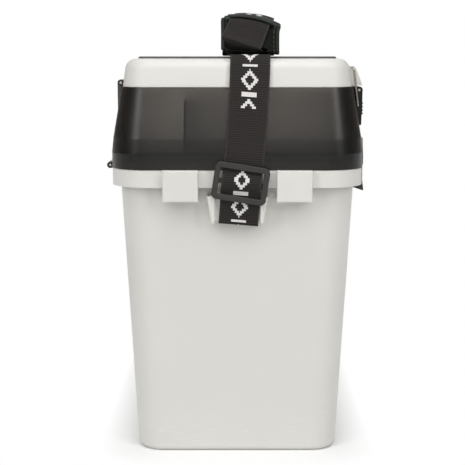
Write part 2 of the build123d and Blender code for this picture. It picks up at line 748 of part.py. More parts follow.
def latch_bail(place):
    """Wire bail that hooks over the lid's catch, with its feet in the lever's cheeks."""
    foot = LATCH_WIDTH / 2 - LATCH_CHEEK
    path = FilletPolyline(
        (place - foot, *bail_axis),
        (place - bail_side, *bail_axis),
        (place - bail_side, *bail_bar),
        (place + bail_side, *bail_bar),
        (place + bail_side, *bail_axis),
        (place + foot, *bail_axis),
        radius=[BAIL_FOOT_BEND, BAIL_BEND, BAIL_BEND, BAIL_FOOT_BEND],
    )
    section = Plane(origin=path @ 0, z_dir=path % 0) * Circle(BAIL_WIRE_RADIUS)
    return sweep(section, path=path)


# Flip latch: a barrel, a plate down the front of the rim and a wedge that hooks under it
hook_top = rim_bottom - FLIP_HOOK_GAP
hook_low = hook_top - FLIP_HOOK_DEPTH
flip_out = flip_axis[0] - FLIP_BARREL_RADIUS
flip_in = flip_out + FLIP_PLATE
hook_tip = -half_width + FLIP_HOOK_REACH


def flip_latch(place):
    """Flip latch that hooks under the bucket rim."""
    outline = [
        (flip_out, flip_axis[1]),
        (flip_out, hook_top + FLIP_FLARE_HEIGHT),
        (flip_out - FLIP_FLARE, hook_low),
        (hook_tip, hook_top - FLIP_HOOK_TIP),
        (hook_tip, hook_top),
        (flip_in, hook_top),
        (flip_in, flip_axis[1]),
    ]
    x_from = place - FLIP_WIDTH / 2
    x_to = place + FLIP_WIDTH / 2
    wedge = profile(outline, x_from, x_to)
    wedge = fillet(wedge.edges().filter_by(Axis.X).group_by(Axis.Z)[0], FLIP_EDGE_RADIUS)
    latch = wedge + rod(flip_axis, FLIP_BARREL_RADIUS, x_from, x_to)
    return latch - rod(flip_axis, FLIP_PIN_RADIUS + PIN_CLEARANCE, x_from, x_to)


# Strap slider: a rounded frame with a thin middle bar
slider_back = half_length + SLIDER_STANDOFF
slider_window = (SLIDER_WIDTH - 2 * SLIDER_BAR - SLIDER_MIDDLE_BAR) / 2
slider_opening = SLIDER_LENGTH - 2 * SLIDER_BAR
slider_frame = RectangleRounded(SLIDER_LENGTH, SLIDER_WIDTH, SLIDER_BAR)
slider_frame -= Rectangle(slider_opening, SLIDER_WIDTH - 2 * SLIDER_BAR)
slider = extrude(slider_frame, SLIDER_THICKNESS)
slider = fillet(slider.edges().group_by(Axis.Z)[-1], SLIDER_EDGE_RADIUS)
slider += extrude(Rectangle(slider_opening + SLIDER_BAR, SLIDER_MIDDLE_BAR), SLIDER_MIDDLE_THICKNESS)
slider_plane = Plane(origin=(-slider_back, 0, slider_height), x_dir=(0, -1, 0), z_dir=(-1, 0, 0))
lean = Pos(0, STRAP_OFFSET, slider_height) * Rot(STRAP_LEAN, 0, 0) * Pos(0, 0, -slider_height)
turn = Pos(0, STRAP_OFFSET, slider_height) * Rot(STRAP_LEAN + SLIDER_TURN, 0, 0) * Pos(0, 0, -slider_height)
slider = turn * (slider_plane * slider)

# Strap at one end: from its sewn end behind the bar, round the bar, through the slider and up the walls
strap_half = STRAP_THICKNESS / 2
strap_behind_bar = bridge_bar_back - STRAP_GAP - strap_half
strap_before_bar = bridge_bar_front + STRAP_GAP + strap_half
lean_drop = STRAP_WIDTH / 2 * sin(radians(STRAP_LEAN))
strap_fold = bridge_foot + BRIDGE_BAR_MARGIN - STRAP_GAP - strap_half - lean_drop
strap_behind_slider = slider_back - STRAP_GAP - strap_half
strap_before_slider = slider_back + SLIDER_MIDDLE_THICKNESS + STRAP_GAP + strap_half
slider_skew = STRAP_WIDTH / 2 * sin(radians(SLIDER_TURN)) + STRAP_GAP
weave_near = SLIDER_MIDDLE_BAR / 2 + slider_skew
weave_far = SLIDER_MIDDLE_BAR / 2 + slider_window - slider_skew
strap_on_skirt = tray_length / 2 + STRAP_GAP + strap_half
strap_on_tray_top = tray_top_length / 2 + STRAP_GAP + strap_half + lean_drop * tray_slope
lid_strand_top = lid_top - LID_EDGE_RADIUS
seat_end_out = SEAT_LENGTH / 2 + STRAP_GAP + strap_half
lid_end_out = lid_length / 2 - (lid_strand_top - tray_top) * lid_slope + STRAP_GAP + strap_half
strap_on_lid = max(lid_end_out, seat_end_out)
strap_route = [
    (strap_before_bar - STRAP_THICKNESS - STRAP_GAP, rim_bottom - STRAP_THICKNESS - lean_drop),
    (strap_behind_bar, bridge_top),
    (strap_behind_bar, strap_fold),
    (strap_before_bar, strap_fold),
    (strap_before_bar, (bridge_top + bridge_foot) / 2),
    (strap_behind_slider, slider_height - SLIDER_WIDTH / 2),
    (strap_behind_slider, slider_height - weave_far),
    (strap_before_slider, slider_height - weave_near),
    (strap_before_slider, slider_height + weave_near),
    (strap_behind_slider, slider_height + weave_far),
    (strap_behind_slider, slider_height + SLIDER_WIDTH / 2 + slider_skew),
    (strap_on_skirt, shoulder_height - TRAY_SHOULDER_INSET / tray_slope + lean_drop),
    (strap_on_tray_top, tray_top),
    (strap_on_lid, lid_strand_top + 2 * lean_drop),
]
fold_bend = (strap_before_bar - strap_behind_bar) / 2 - STRAP_GAP
strap_bends = (
    [STRAP_WEAVE_BEND, fold_bend, fold_bend, STRAP_EASY_BEND, STRAP_EASY_BEND]
    + [STRAP_WEAVE_BEND] * 4
    + [STRAP_EASY_BEND, STRAP_WALL_BEND, STRAP_WALL_BEND]
)
webbing = Rectangle(STRAP_WIDTH, STRAP_THICKNESS)
strap_end = lean * band(strap_route, strap_bends, webbing)


def between(shape, low, high):
    """The part of a shape between two heights."""
    above = split(shape, bisect_by=Plane.XY.offset(low), keep=Keep.TOP)
    return split(above, bisect_by=Plane.XY.offset(high), keep=Keep.BOTTOM)


strap_loop = between(strap_end, 0, BUCKET_HEIGHT - STRAP_SEAM / 2)
strap_tray_strand = between(strap_end, BUCKET_HEIGHT + STRAP_SEAM / 2, tray_top - STRAP_SEAM / 2)
strap_lid_strand = between(strap_end, tray_top + STRAP_SEAM / 2, lid_strand_top - STRAP_SEAM / 2)

# Shoulder pad: stands up at the near end of the seat, bends over and lies down along it
strap_line = STRAP_OFFSET - (lid_top - slider_height) * tan(radians(STRAP_LEAN))
shoulder_half = SHOULDER_THICKNESS / 2
shoulder_rest = seat_top + STRAP_GAP + shoulder_half
shoulder_near = SEAT_LENGTH / 2
crest = seat_top + SHOULDER_RISE
shoulder_route = [
    (shoulder_near, shoulder_rest + STRAP_THICKNESS + STRAP_GAP),
    (shoulder_near - SHOULDER_FRONT, crest),
    (shoulder_near - SHOULDER_FRONT - SHOULDER_CREST, crest),
    (shoulder_near - SHOULDER_FRONT - SHOULDER_BACK, shoulder_rest),
    (shoulder_near - SHOULDER_FRONT - SHOULDER_BACK - SHOULDER_TAIL, shoulder_rest),
]
shoulder_bends = [SHOULDER_FRONT_BEND, SHOULDER_CREST_BEND, SHOULDER_TAIL_BEND]
beside_strap = Pos(0, strap_line, 0)
padding = RectangleRounded(SHOULDER_WIDTH, SHOULDER_THICKNESS, SHOULDER_EDGE_RADIUS)
shoulder_pad = band(shoulder_route, shoulder_bends, padding)

# Strap along the seat: under the pad's foot, back through its slot, over the pad and on to the far end
strap_rise = seat_top + STRAP_GAP + strap_half
lid_corner_out = max(lid_end_out - (lid_top - lid_strand_top) * lid_slope, seat_end_out)
lid_bend = min(STRAP_LID_BEND, lid_corner_out - SEAT_LENGTH / 2)
strap_stand = shoulder_half + STRAP_GAP + strap_half
strap_over = offset_route(shoulder_route, -strap_stand)
strap_front_lean = (strap_over[1][0] - strap_over[0][0]) / (strap_over[1][1] - strap_over[0][1])
slot_exit_height = seat_top + SHOULDER_SLOT_HEIGHT
slot_exit = (
    strap_over[0][0] + (slot_exit_height - strap_over[0][1]) * strap_front_lean + SHOULDER_SLOT_REACH,
    slot_exit_height,
)
strap_turn = (shoulder_near - SHOULDER_TURN_IN, strap_rise)
strap_tail_end = (strap_over[4][0] - SHOULDER_WIDTH / 2, strap_rise)
top_route = [
    (strap_on_lid, lid_strand_top + STRAP_SEAM / 2),
    (lid_corner_out, strap_rise),
    strap_turn,
    slot_exit,
    strap_over[1],
    strap_over[2],
    strap_over[3],
    strap_over[4],
    strap_tail_end,
    (-lid_corner_out, strap_rise),
    (-strap_on_lid, lid_strand_top + STRAP_SEAM / 2),
]
top_bends = [
    lid_bend,
    STRAP_WEAVE_BEND,
    STRAP_WEAVE_BEND,
    SHOULDER_FRONT_BEND + strap_stand,
    SHOULDER_CREST_BEND + strap_stand,
    SHOULDER_TAIL_BEND - strap_stand,
    SHOULDER_TAIL_BEND,
    SHOULDER_TAIL_BEND,
    lid_bend,
]
strap_top = beside_strap * band(top_route, top_bends, webbing)
slot_line = Line((-strap_turn[0], 0, strap_turn[1]), (-slot_exit[0], 0, slot_exit[1]))
slot_start = Plane(origin=slot_line @ 0, x_dir=(0, 1, 0), z_dir=slot_line % 0)
slot_section = Rectangle(
    STRAP_WIDTH + 2 * SHOULDER_SLOT_CLEARANCE, STRAP_THICKNESS + 2 * SHOULDER_SLOT_CLEARANCE
)
shoulder_pad -= sweep(slot_start * slot_section, path=slot_line)
shoulder_pad = beside_strap * shoulder_pad

# Every piece under its node name
nodes = {"bucket": bucket, "tray": tray, "lid": lid, "seat_pad": seat_pad}
for index, divider in enumerate(dividers):
    nodes[f"tray_divider_{index + 1}"] = divider
for end, place in zip(ends, hinge_places):
    nodes[f"lid_hinge_pin_{end}"] = pin(lid_axis, HINGE_PIN_RADIUS, place, hinge_length)
    nodes[f"tray_hinge_pin_{end}"] = pin(tray_axis, HINGE_PIN_RADIUS, place, hinge_length)
for end, place in zip(ends, latch_places):
    nodes[f"lid_latch_lever_{end}"] = latch_lever(place)
    nodes[f"lid_latch_bail_{end}"] = latch_bail(place)
    nodes[f"lid_latch_pin_{end}"] = pin(latch_axis, HINGE_PIN_RADIUS, place, LATCH_WIDTH)
for end, place in zip(ends, flip_places):
    nodes[f"body_latch_{end}"] = flip_latch(place)
    nodes[f"body_latch_pin_{end}"] = pin(flip_axis, FLIP_PIN_RADIUS, place, flip_length)
for name, shape in [
    ("strap_slider", slider),
    ("strap_loop", strap_loop),
    ("strap_tray_strand", strap_tray_strand),
    ("strap_lid_strand", strap_lid_strand),
]:
    for end, piece in zip(ends, mirrored_ends(shape)):
        nodes[f"{name}_{end}"] = piece
nodes["strap_top"] = strap_top
nodes["shoulder_pad"] = shoulder_pad

for name, shape in nodes.items():
    export_step(shape, f"parts/{name}.step")
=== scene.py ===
"""Dresses the ice fishing box: shells, latches, hinges, webbing strap, pads and a plain studio.

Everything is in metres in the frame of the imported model: X along the box, Y across it and Z up.
The hinges are at the back (+Y), the latches at the front (-Y), and the near end is at -X.
"""
import json
import logging
from dataclasses import dataclass, field
from enum import Enum
from math import cos, pi, radians, sin

import bmesh
import bpy
from mathutils import Euler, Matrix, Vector

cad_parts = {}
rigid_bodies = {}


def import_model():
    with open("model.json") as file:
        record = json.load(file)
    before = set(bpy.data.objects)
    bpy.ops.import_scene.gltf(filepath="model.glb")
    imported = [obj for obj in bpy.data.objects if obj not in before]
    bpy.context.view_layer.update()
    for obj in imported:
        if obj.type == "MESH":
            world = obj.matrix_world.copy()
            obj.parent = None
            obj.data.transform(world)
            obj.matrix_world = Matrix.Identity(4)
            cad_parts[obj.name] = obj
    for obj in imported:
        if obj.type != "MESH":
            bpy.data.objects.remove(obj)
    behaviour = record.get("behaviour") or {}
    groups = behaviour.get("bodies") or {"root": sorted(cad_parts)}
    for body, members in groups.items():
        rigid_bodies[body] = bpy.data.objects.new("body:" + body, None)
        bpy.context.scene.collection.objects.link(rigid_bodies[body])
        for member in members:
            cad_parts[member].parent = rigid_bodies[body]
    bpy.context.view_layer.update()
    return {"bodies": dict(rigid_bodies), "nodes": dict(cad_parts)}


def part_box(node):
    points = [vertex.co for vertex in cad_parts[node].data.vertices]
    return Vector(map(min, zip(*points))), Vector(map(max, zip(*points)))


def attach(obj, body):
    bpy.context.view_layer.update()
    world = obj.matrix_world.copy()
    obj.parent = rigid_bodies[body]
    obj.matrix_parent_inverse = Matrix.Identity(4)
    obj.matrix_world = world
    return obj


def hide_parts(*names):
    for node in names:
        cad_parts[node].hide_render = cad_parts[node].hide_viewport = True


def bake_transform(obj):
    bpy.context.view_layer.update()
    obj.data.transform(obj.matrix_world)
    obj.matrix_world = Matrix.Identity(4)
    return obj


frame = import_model()

log = logging.getLogger("ice_fishing_box")
MM = 0.001
# Most of a noise texture's values lie between these two.
NOISE_LOW, NOISE_HIGH = 0.3, 0.7
Route = list[tuple[float, float]]
LooseRoute = list[tuple[float, float, float, float]]
Inputs = dict[int | str, object]
Sums = tuple[tuple[str | float, ...], ...]


class End(Enum):
    """The two ends of the box, with the side of X that each is on."""

    NEAR = -1
    FAR = 1

    @property
    def label(self) -> str:
        """Name of the end as the nodes spell it."""
        return self.name.lower()


def linear(code: str) -> tuple[float, float, float, float]:
    """Turn an sRGB hex colour into linear RGBA.

    Args:
        code: Colour such as "#DADAD5".

    Returns:
        Linear red, green, blue and an alpha of 1.
    """
    channels = [int(code[place : place + 2], 16) / 255 for place in (1, 3, 5)]
    red, green, blue = [c / 12.92 if c <= 0.04045 else ((c + 0.055) / 1.055) ** 2.4 for c in channels]
    return red, green, blue, 1.0


def add_node(
    tree: bpy.types.NodeTree, kind: str, inputs: Inputs | None = None, **settings: object
) -> bpy.types.Node:
    """Add a shader node with its settings and links.

    Args:
        tree: Node tree that gets the node.
        kind: Blender's name of the node.
        inputs: Values, or output sockets to link, by input name or number.
        settings: Properties of the node itself.

    Returns:
        The new node.
    """
    node = tree.nodes.new(kind)
    for name, value in settings.items():
        setattr(node, name, value)
    for socket, value in (inputs or {}).items():
        if isinstance(value, bpy.types.NodeSocket):
            tree.links.new(value, node.inputs[socket])
        else:
            node.inputs[socket].default_value = value
    return node


@dataclass(frozen=True)
class Finish:
    """What every finish has: a name, and one material that is made on first use."""

    name: str

    def material(self) -> bpy.types.Material:
        """Give the finish's material.

        Returns:
            The material, the same one each time.
        """
        made = bpy.data.materials.get(self.name)
        if made is None:
            made = bpy.data.materials.new(self.name)
            made.use_nodes = True
            tree = made.node_tree
            tree.nodes.clear()
            shader = add_node(tree, "ShaderNodeBsdfPrincipled", self.dress(tree))
            add_node(
                tree, "ShaderNodeOutputMaterial", {"Surface": shader.outputs[0], **self.inside(tree)}
            )
        return made

    def dress(self, tree: bpy.types.NodeTree) -> Inputs:
        """Add the finish's own nodes, and give what its shader gets from them."""
        return {}

    def inside(self, tree: bpy.types.NodeTree) -> Inputs:
        """Give what fills the piece below its surface, which is nothing for most finishes."""
        return {}


@dataclass(frozen=True)
class MouldedPlastic(Finish):
    """Plastic moulded in a spark-eroded tool: an even colour, a fine grain and soft rubbed patches."""

    colour: str
    shade: str
    roughness: float
    matter: float = 0.06
    glossier: float = 0.05
    grain_mm: float = 1.1
    grain_depth_mm: float = 0.05
    grain_strength: float = 0.35
    flow_mm: float = 90.0
    rubbed: str = "#EDEDEA"
    rub_below_mm: float = 0.0
    rub_share: float = 0.6
    scratch_mm: tuple[float, float, float] = (16.7, 16.7, 1.43)
    scratch_range: tuple[float, float] = (0.60, 0.72)
    ior: float = 1.49
    specular: float = 0.5

    def dress(self, tree: bpy.types.NodeTree) -> Inputs:
        """Add flow marks, grain and rubbed patches.

        Args:
            tree: Node tree of the material.

        Returns:
            Inputs of the shader.
        """
        place = add_node(tree, "ShaderNodeTexCoord").outputs["Object"]
        # Flow marks of the melt are a hand wide and hardly darker than the rest.
        flow = add_node(
            tree, "ShaderNodeTexNoise", {"Vector": place, "Scale": 1 / (self.flow_mm * MM), "Detail": 3.0}
        ).outputs[0]
        colour = add_node(
            tree,
            "ShaderNodeMix",
            {0: flow, 6: linear(self.shade), 7: linear(self.colour)},
            data_type="RGBA",
        ).outputs[2]
        # Real spark grain is about 0.1 mm. It is drawn ten times as coarse, so that it shows.
        grain = add_node(
            tree, "ShaderNodeTexNoise", {"Vector": place, "Scale": 1 / (self.grain_mm * MM), "Detail": 2.0}
        ).outputs[0]
        dull, bright = self.roughness + self.matter, self.roughness - self.glossier
        return {
            "Base Color": self.rub(tree, place, colour) if self.rub_below_mm > 0 else colour,
            "Roughness": add_node(
                tree, "ShaderNodeMapRange", {0: flow, 1: NOISE_LOW, 2: NOISE_HIGH, 3: dull, 4: bright}
            ).outputs[0],
            "Normal": add_node(
                tree,
                "ShaderNodeBump",
                {"Height": grain, "Strength": self.grain_strength, "Distance": self.grain_depth_mm * MM},
            ).outputs[0],
            "IOR": self.ior,
            "Specular IOR Level": self.specular,
        }

    def rub(
        self, tree: bpy.types.NodeTree, place: bpy.types.NodeSocket, colour: bpy.types.NodeSocket
    ) -> bpy.types.NodeSocket:
        """Rub the foot as ice and floors do: short pale scratches that thin out upwards.

        Args:
            tree: Node tree of the material.
            place: Object coordinates.
            colour: Colour without scratches.

        Returns:
            Colour with scratches.
        """
        height = add_node(tree, "ShaderNodeSeparateXYZ", {0: place}).outputs[2]
        low = add_node(
            tree, "ShaderNodeMapRange", {0: height, 1: 0.0, 2: self.rub_below_mm * MM, 3: 1.0, 4: 0.0}
        ).outputs[0]
        scale = tuple(1 / (size * MM) for size in self.scratch_mm)
        streaks = add_node(tree, "ShaderNodeMapping", {"Vector": place, "Scale": scale}).outputs[0]
        scratch = add_node(
            tree, "ShaderNodeTexNoise", {"Vector": streaks, "Scale": 1.0, "Detail": 3.0}
        ).outputs[0]
        faint, clear = self.scratch_range
        thin = add_node(
            tree, "ShaderNodeMapRange", {0: scratch, 1: faint, 2: clear, 3: 0.0, 4: self.rub_share}
        ).outputs[0]
        worn = add_node(tree, "ShaderNodeMath", {0: low, 1: thin}, operation="MULTIPLY").outputs[0]
        return add_node(
            tree, "ShaderNodeMix", {0: worn, 6: colour, 7: linear(self.rubbed)}, data_type="RGBA"
        ).outputs[2]


@dataclass(frozen=True)
class SmokedPlastic(Finish):
    """Moulded smoked styrene: light goes through it, and every millimetre of it keeps some back."""

    colour: str
    cloud: str
    thick: str
    smoke: str
    density: float
    roughness: float = 0.36
    ior: float = 1.5
    haze_mm: float = 60.0
    # skirt_mm and corner say where painted shade darkens the wall.
    skirt_mm: tuple[float, float] = (297.0, 306.0)
    corner: tuple[float, float] = (0.15, 0.4)

    def dress(self, tree: bpy.types.NodeTree) -> Inputs:
        """Add the haze of a thin moulding, and painted shade round the upright corners and on the skirt.

        Args:
            tree: Node tree of the material.

        Returns:
            Inputs of the shader.
        """
        where = add_node(tree, "ShaderNodeTexCoord").outputs
        place = where["Object"]
        haze = add_node(
            tree, "ShaderNodeTexNoise", {"Vector": place, "Scale": 1 / (self.haze_mm * MM), "Detail": 0.0}
        ).outputs[0]
        colour = add_node(
            tree,
            "ShaderNodeMix",
            {0: haze, 6: linear(self.colour), 7: linear(self.cloud)},
            data_type="RGBA",
        ).outputs[2]
        # Painted shade: the wall is darkened round its upright corners, where it faces between X and Y.
        facing = add_node(tree, "ShaderNodeSeparateXYZ", {0: where["Normal"]}).outputs
        both = add_node(tree, "ShaderNodeMath", {0: facing[0], 1: facing[1]}, operation="MULTIPLY").outputs[0]
        turned = add_node(tree, "ShaderNodeMath", {0: both}, operation="ABSOLUTE").outputs[0]
        corner = add_node(
            tree, "ShaderNodeMapRange", {0: turned, 1: self.corner[0], 2: self.corner[1]}
        ).outputs[0]
        # Painted shade too on the skirt that sits on the rim, fading out upwards.
        height = add_node(tree, "ShaderNodeSeparateXYZ", {0: place}).outputs[2]
        low, high = (edge * MM for edge in self.skirt_mm)
        skirt_shade = add_node(tree, "ShaderNodeMapRange", {0: height, 1: low, 2: high, 3: 1.0, 4: 0.0}).outputs[0]
        painted_shade_mask = add_node(tree, "ShaderNodeMath", {0: corner, 1: skirt_shade}, operation="MAXIMUM").outputs[0]
        return {
            # The fourth colour is painted shade, laid over the haze on the corners and the skirt.
            "Base Color": add_node(
                tree, "ShaderNodeMix", {0: painted_shade_mask, 6: colour, 7: linear(self.thick)}, data_type="RGBA"
            ).outputs[2],
            "Roughness": self.roughness,
            "IOR": self.ior,
            "Transmission Weight": 1.0,
        }

    def inside(self, tree: bpy.types.NodeTree) -> Inputs:
        """Fill the wall with smoke."""
        smoke = {"Color": linear(self.smoke), "Density": self.density}
        return {"Volume": add_node(tree, "ShaderNodeVolumeAbsorption", smoke).outputs[0]}


@dataclass(frozen=True)
class BrightSteel(Finish):
    """Drawn and zinc-plated steel wire and pins: bright, with fine lines along X."""

    colour: str = "#C4BFB5"
    dull: str = "#A59F94"
    roughness: float = 0.26
    matter: float = 0.08
    glossier: float = 0.06
    line_mm: float = 0.6
    line_length_mm: float = 12.0

    def dress(self, tree: bpy.types.NodeTree) -> Inputs:
        """Add drawn lines and dull patches.

        Args:
            tree: Node tree of the material.

        Returns:
            Inputs of the shader.
        """
        place = add_node(tree, "ShaderNodeTexCoord").outputs["Object"]
        # Lines of the drawing die are under 0.1 mm, and are drawn 0.6 mm apart so that they show.
        drawn = 1 / (self.line_mm * MM)
        scale = (1 / (self.line_length_mm * MM), drawn, drawn)
        lines = add_node(tree, "ShaderNodeMapping", {"Vector": place, "Scale": scale}).outputs[0]
        streak = add_node(
            tree, "ShaderNodeTexNoise", {"Vector": lines, "Scale": 1.0, "Detail": 3.0}
        ).outputs[0]
        rough, smooth = self.roughness + self.matter, self.roughness - self.glossier
        return {
            "Base Color": add_node(
                tree,
                "ShaderNodeMix",
                {0: streak, 6: linear(self.dull), 7: linear(self.colour)},
                data_type="RGBA",
            ).outputs[2],
            "Roughness": add_node(
                tree, "ShaderNodeMapRange", {0: streak, 1: NOISE_LOW, 2: NOISE_HIGH, 3: rough, 4: smooth}
            ).outputs[0],
            "Metallic": 1.0,
        }


@dataclass(frozen=True)
class WovenWebbing(Finish):
    """Flat polypropylene webbing: cross ribs, a firm selvedge and a white pattern woven in.

    The piece's UV map gives metres from the strap's middle (U) and along it (V).
    """

    dark: str = "#35312F"
    gap: str = "#1C1A19"
    white: str = "#E9E6E4"
    width_mm: float = 38.0
    selvedge_mm: float = 1.6
    rib_mm: float = 2.2
    rib_depth_mm: float = 0.25
    rib_strength: float = 0.6
    rib_share: float = 0.55
    nap: float = 0.4
    fuzz: tuple[float, float] = (0.5, 0.62)
    thread_mm: float = 0.95
    fibre_mm: tuple[float, float] = (1.4, 0.5)
    motif_half_mm: float = 8.4
    motif_length_mm: float = 27.0
    ring_reach: float = 0.36
    ring_hole: float = 0.52
    bar_from: float = 0.43
    bar_width: float = 0.8
    group_mm: float = 67.5
    repeat_mm: float = 122.0
    start_mm: float = -27.0
    roughness: float = 0.72
    sheen: float = 0.03
    specular: float = 0.15

    def dress(self, tree: bpy.types.NodeTree) -> Inputs:
        """Add ribs, selvedge and a row of stepped lozenges with bars between them.

        Args:
            tree: Node tree of the material.

        Returns:
            Inputs of the shader.
        """
        cloth = add_node(tree, "ShaderNodeUVMap", uv_map="cloth").outputs[0]
        split = add_node(tree, "ShaderNodeSeparateXYZ", {0: cloth}).outputs
        scale = (*(1 / (size * MM) for size in self.fibre_mm), 1.0)
        fibres = add_node(tree, "ShaderNodeMapping", {"Vector": cloth, "Scale": scale}).outputs[0]
        made = {
            "across": split[0],
            "along": split[1],
            "fibre": add_node(
                tree, "ShaderNodeTexNoise", {"Vector": fibres, "Scale": 1.0, "Detail": 2.0}
            ).outputs[0],
        }
        for name, operation, *values in (*self.weave(), *self.motifs(), *self.tones()):
            inputs = {place: made.get(value, value) for place, value in enumerate(values)}
            made[name] = add_node(tree, "ShaderNodeMath", inputs, operation=operation).outputs[0]
        colour = linear(self.gap)
        for share, paint in (("shown", self.dark), ("selvedge", self.dark), ("worn", self.white)):
            colour = add_node(
                tree, "ShaderNodeMix", {0: made[share], 6: colour, 7: linear(paint)}, data_type="RGBA"
            ).outputs[2]
        return {
            "Base Color": colour,
            "Normal": add_node(
                tree,
                "ShaderNodeBump",
                {"Height": made["height"], "Strength": self.rib_strength, "Distance": self.rib_depth_mm * MM},
            ).outputs[0],
            "Roughness": self.roughness,
            "Sheen Weight": self.sheen,
            "Specular IOR Level": self.specular,
        }

    def weave(self) -> Sums:
        """Work out the ribs and the woven grid.

        Returns:
            Rows of a result's name, an operation, and numbers or names of earlier results.
        """
        thread, rib = self.thread_mm * MM, self.rib_mm * MM
        return (
            # Real weft ribs are about 1.4 mm apart. They are drawn 2.2 mm apart, so that each shows.
            ("turn", "MULTIPLY", "along", 2 * pi / rib),
            ("wave", "SINE", "turn"),
            ("ridge", "MULTIPLY_ADD", "wave", 0.5, 0.5),
            # The pattern is woven, so it steps by whole threads across and by whole ribs along.
            ("centred", "ADD", "across", thread / 2),
            ("thread", "SNAP", "centred", thread),
            ("column", "ABSOLUTE", "thread"),
            ("moved", "ADD", "along", self.start_mm * MM),
            ("row", "SNAP", "moved", rib),
        )

    def motifs(self) -> Sums:
        """Work out the pattern: groups of lozenge rings, with a bar between each two.

        Returns:
            Rows, as the ribs have them.
        """
        half_width, length = self.motif_half_mm * MM, self.motif_length_mm * MM
        return (
            ("placed", "WRAP", "row", self.repeat_mm * MM, 0.0),
            ("in_group", "LESS_THAN", "placed", self.group_mm * MM),
            ("off_centre", "WRAP", "placed", length / 2, -length / 2),
            ("cell", "ABSOLUTE", "off_centre"),
            ("wide", "DIVIDE", "column", half_width),
            ("tall", "DIVIDE", "cell", self.ring_reach * length),
            ("reach", "ADD", "wide", "tall"),
            ("within", "LESS_THAN", "reach", 1.0),
            ("round_hole", "GREATER_THAN", "reach", self.ring_hole),
            ("ring", "MULTIPLY", "within", "round_hole"),
            ("narrow", "LESS_THAN", "column", half_width * self.bar_width),
            ("between", "GREATER_THAN", "cell", self.bar_from * length),
            ("bar", "MULTIPLY", "narrow", "between"),
            ("motif", "MAXIMUM", "ring", "bar"),
            ("pattern", "MULTIPLY", "motif", "in_group"),
        )

    def tones(self) -> Sums:
        """Work out what the fibres do to the ribs, the selvedge and the white threads.

        Returns:
            Rows, as the ribs have them.
        """
        return (
            ("fuzz", "MULTIPLY_ADD", "fibre", *self.fuzz),
            ("fade", "MINIMUM", "fuzz", 1.0),
            ("worn", "MULTIPLY", "pattern", "fade"),
            ("off_middle", "ABSOLUTE", "across"),
            ("selvedge", "GREATER_THAN", "off_middle", (self.width_mm / 2 - self.selvedge_mm) * MM),
            ("fluff", "MULTIPLY", "fibre", 1 - self.rib_share),
            ("shown", "MULTIPLY_ADD", "ridge", self.rib_share, "fluff"),
            ("nap", "MULTIPLY", "fibre", self.nap),
            ("height", "ADD", "ridge", "nap"),
        )


@dataclass(frozen=True)
class PadCloth(Finish):
    """Coated nylon cover of a foam pad: a close plain weave, nearly black with a green cast.

    The piece's UV map gives metres from the pad's middle (U) and along it (V).
    """

    colour: str = "#171A17"
    gap: str = "#0C0E0C"
    piping: str = "#2A2F29"
    thread: str = "#353932"
    half_width_mm: float = 28.0
    binding_mm: float = 2.5
    seam_mm: float = 4.6
    seam_width_mm: float = 0.9
    stitch_mm: float = 4.2
    stitch_share: float = 0.7
    stitch_rise: float = 2.0
    thread_mm: float = 1.5
    thread_depth_mm: float = 0.15
    thread_strength: float = 0.3
    thread_share: float = 0.35
    crease_mm: float = 7.14
    roughness: float = 0.6
    sheen: float = 0.02
    specular: float = 0.06

    def dress(self, tree: bpy.types.NodeTree) -> Inputs:
        """Add the weave, the paler binding along both edges and a row of stitches beside each.

        Args:
            tree: Node tree of the material.

        Returns:
            Inputs of the shader.
        """
        cloth = add_node(tree, "ShaderNodeUVMap", uv_map="cloth").outputs[0]
        split = add_node(tree, "ShaderNodeSeparateXYZ", {0: cloth}).outputs
        # The real weave has two threads a millimetre. It is drawn three times as coarse, so that it shows.
        check = {"Vector": cloth, "Scale": 1 / (self.thread_mm * MM)}
        creases = {"Vector": cloth, "Scale": 1 / (self.crease_mm * MM), "Detail": 3.0}
        made = {
            "across": split[0],
            "along": split[1],
            "weave": add_node(
                tree, "ShaderNodeTexChecker", {**check, "Color1": (1, 1, 1, 1), "Color2": (0, 0, 0, 1)}
            ).outputs[1],
            "creases": add_node(tree, "ShaderNodeTexNoise", creases).outputs[0],
        }
        for name, operation, *values in self.sewing():
            inputs = {place: made.get(value, value) for place, value in enumerate(values)}
            made[name] = add_node(tree, "ShaderNodeMath", inputs, operation=operation).outputs[0]
        colour = linear(self.gap)
        for share, paint in (("shown", self.colour), ("bound", self.piping), ("stitch", self.thread)):
            colour = add_node(
                tree, "ShaderNodeMix", {0: made[share], 6: colour, 7: linear(paint)}, data_type="RGBA"
            ).outputs[2]
        depth = {"Strength": self.thread_strength, "Distance": self.thread_depth_mm * MM}
        return {
            "Base Color": colour,
            "Normal": add_node(tree, "ShaderNodeBump", {"Height": made["height"], **depth}).outputs[0],
            "Roughness": self.roughness,
            "Sheen Weight": self.sheen,
            "Specular IOR Level": self.specular,
        }

    def sewing(self) -> Sums:
        """Work out the weave's tone, the binding and the stitches.

        Returns:
            Rows, as the webbing has them.
        """
        return (
            ("mottled", "MULTIPLY_ADD", "weave", self.thread_share, "creases"),
            ("shown", "MINIMUM", "mottled", 1.0),
            ("off_middle", "ABSOLUTE", "across"),
            ("inwards", "SUBTRACT", self.half_width_mm * MM, "off_middle"),
            ("bound", "LESS_THAN", "inwards", self.binding_mm * MM),
            # A stitch is 3 mm of thread and a gap of a little over 1 mm.
            ("seam", "COMPARE", "inwards", self.seam_mm * MM, self.seam_width_mm * MM / 2),
            ("stitches", "DIVIDE", "along", self.stitch_mm * MM),
            ("in_stitch", "FRACT", "stitches"),
            ("dash", "LESS_THAN", "in_stitch", self.stitch_share),
            ("stitch", "MULTIPLY", "seam", "dash"),
            ("raised", "MULTIPLY", "stitch", self.stitch_rise),
            ("height", "ADD", "weave", "raised"),
        )


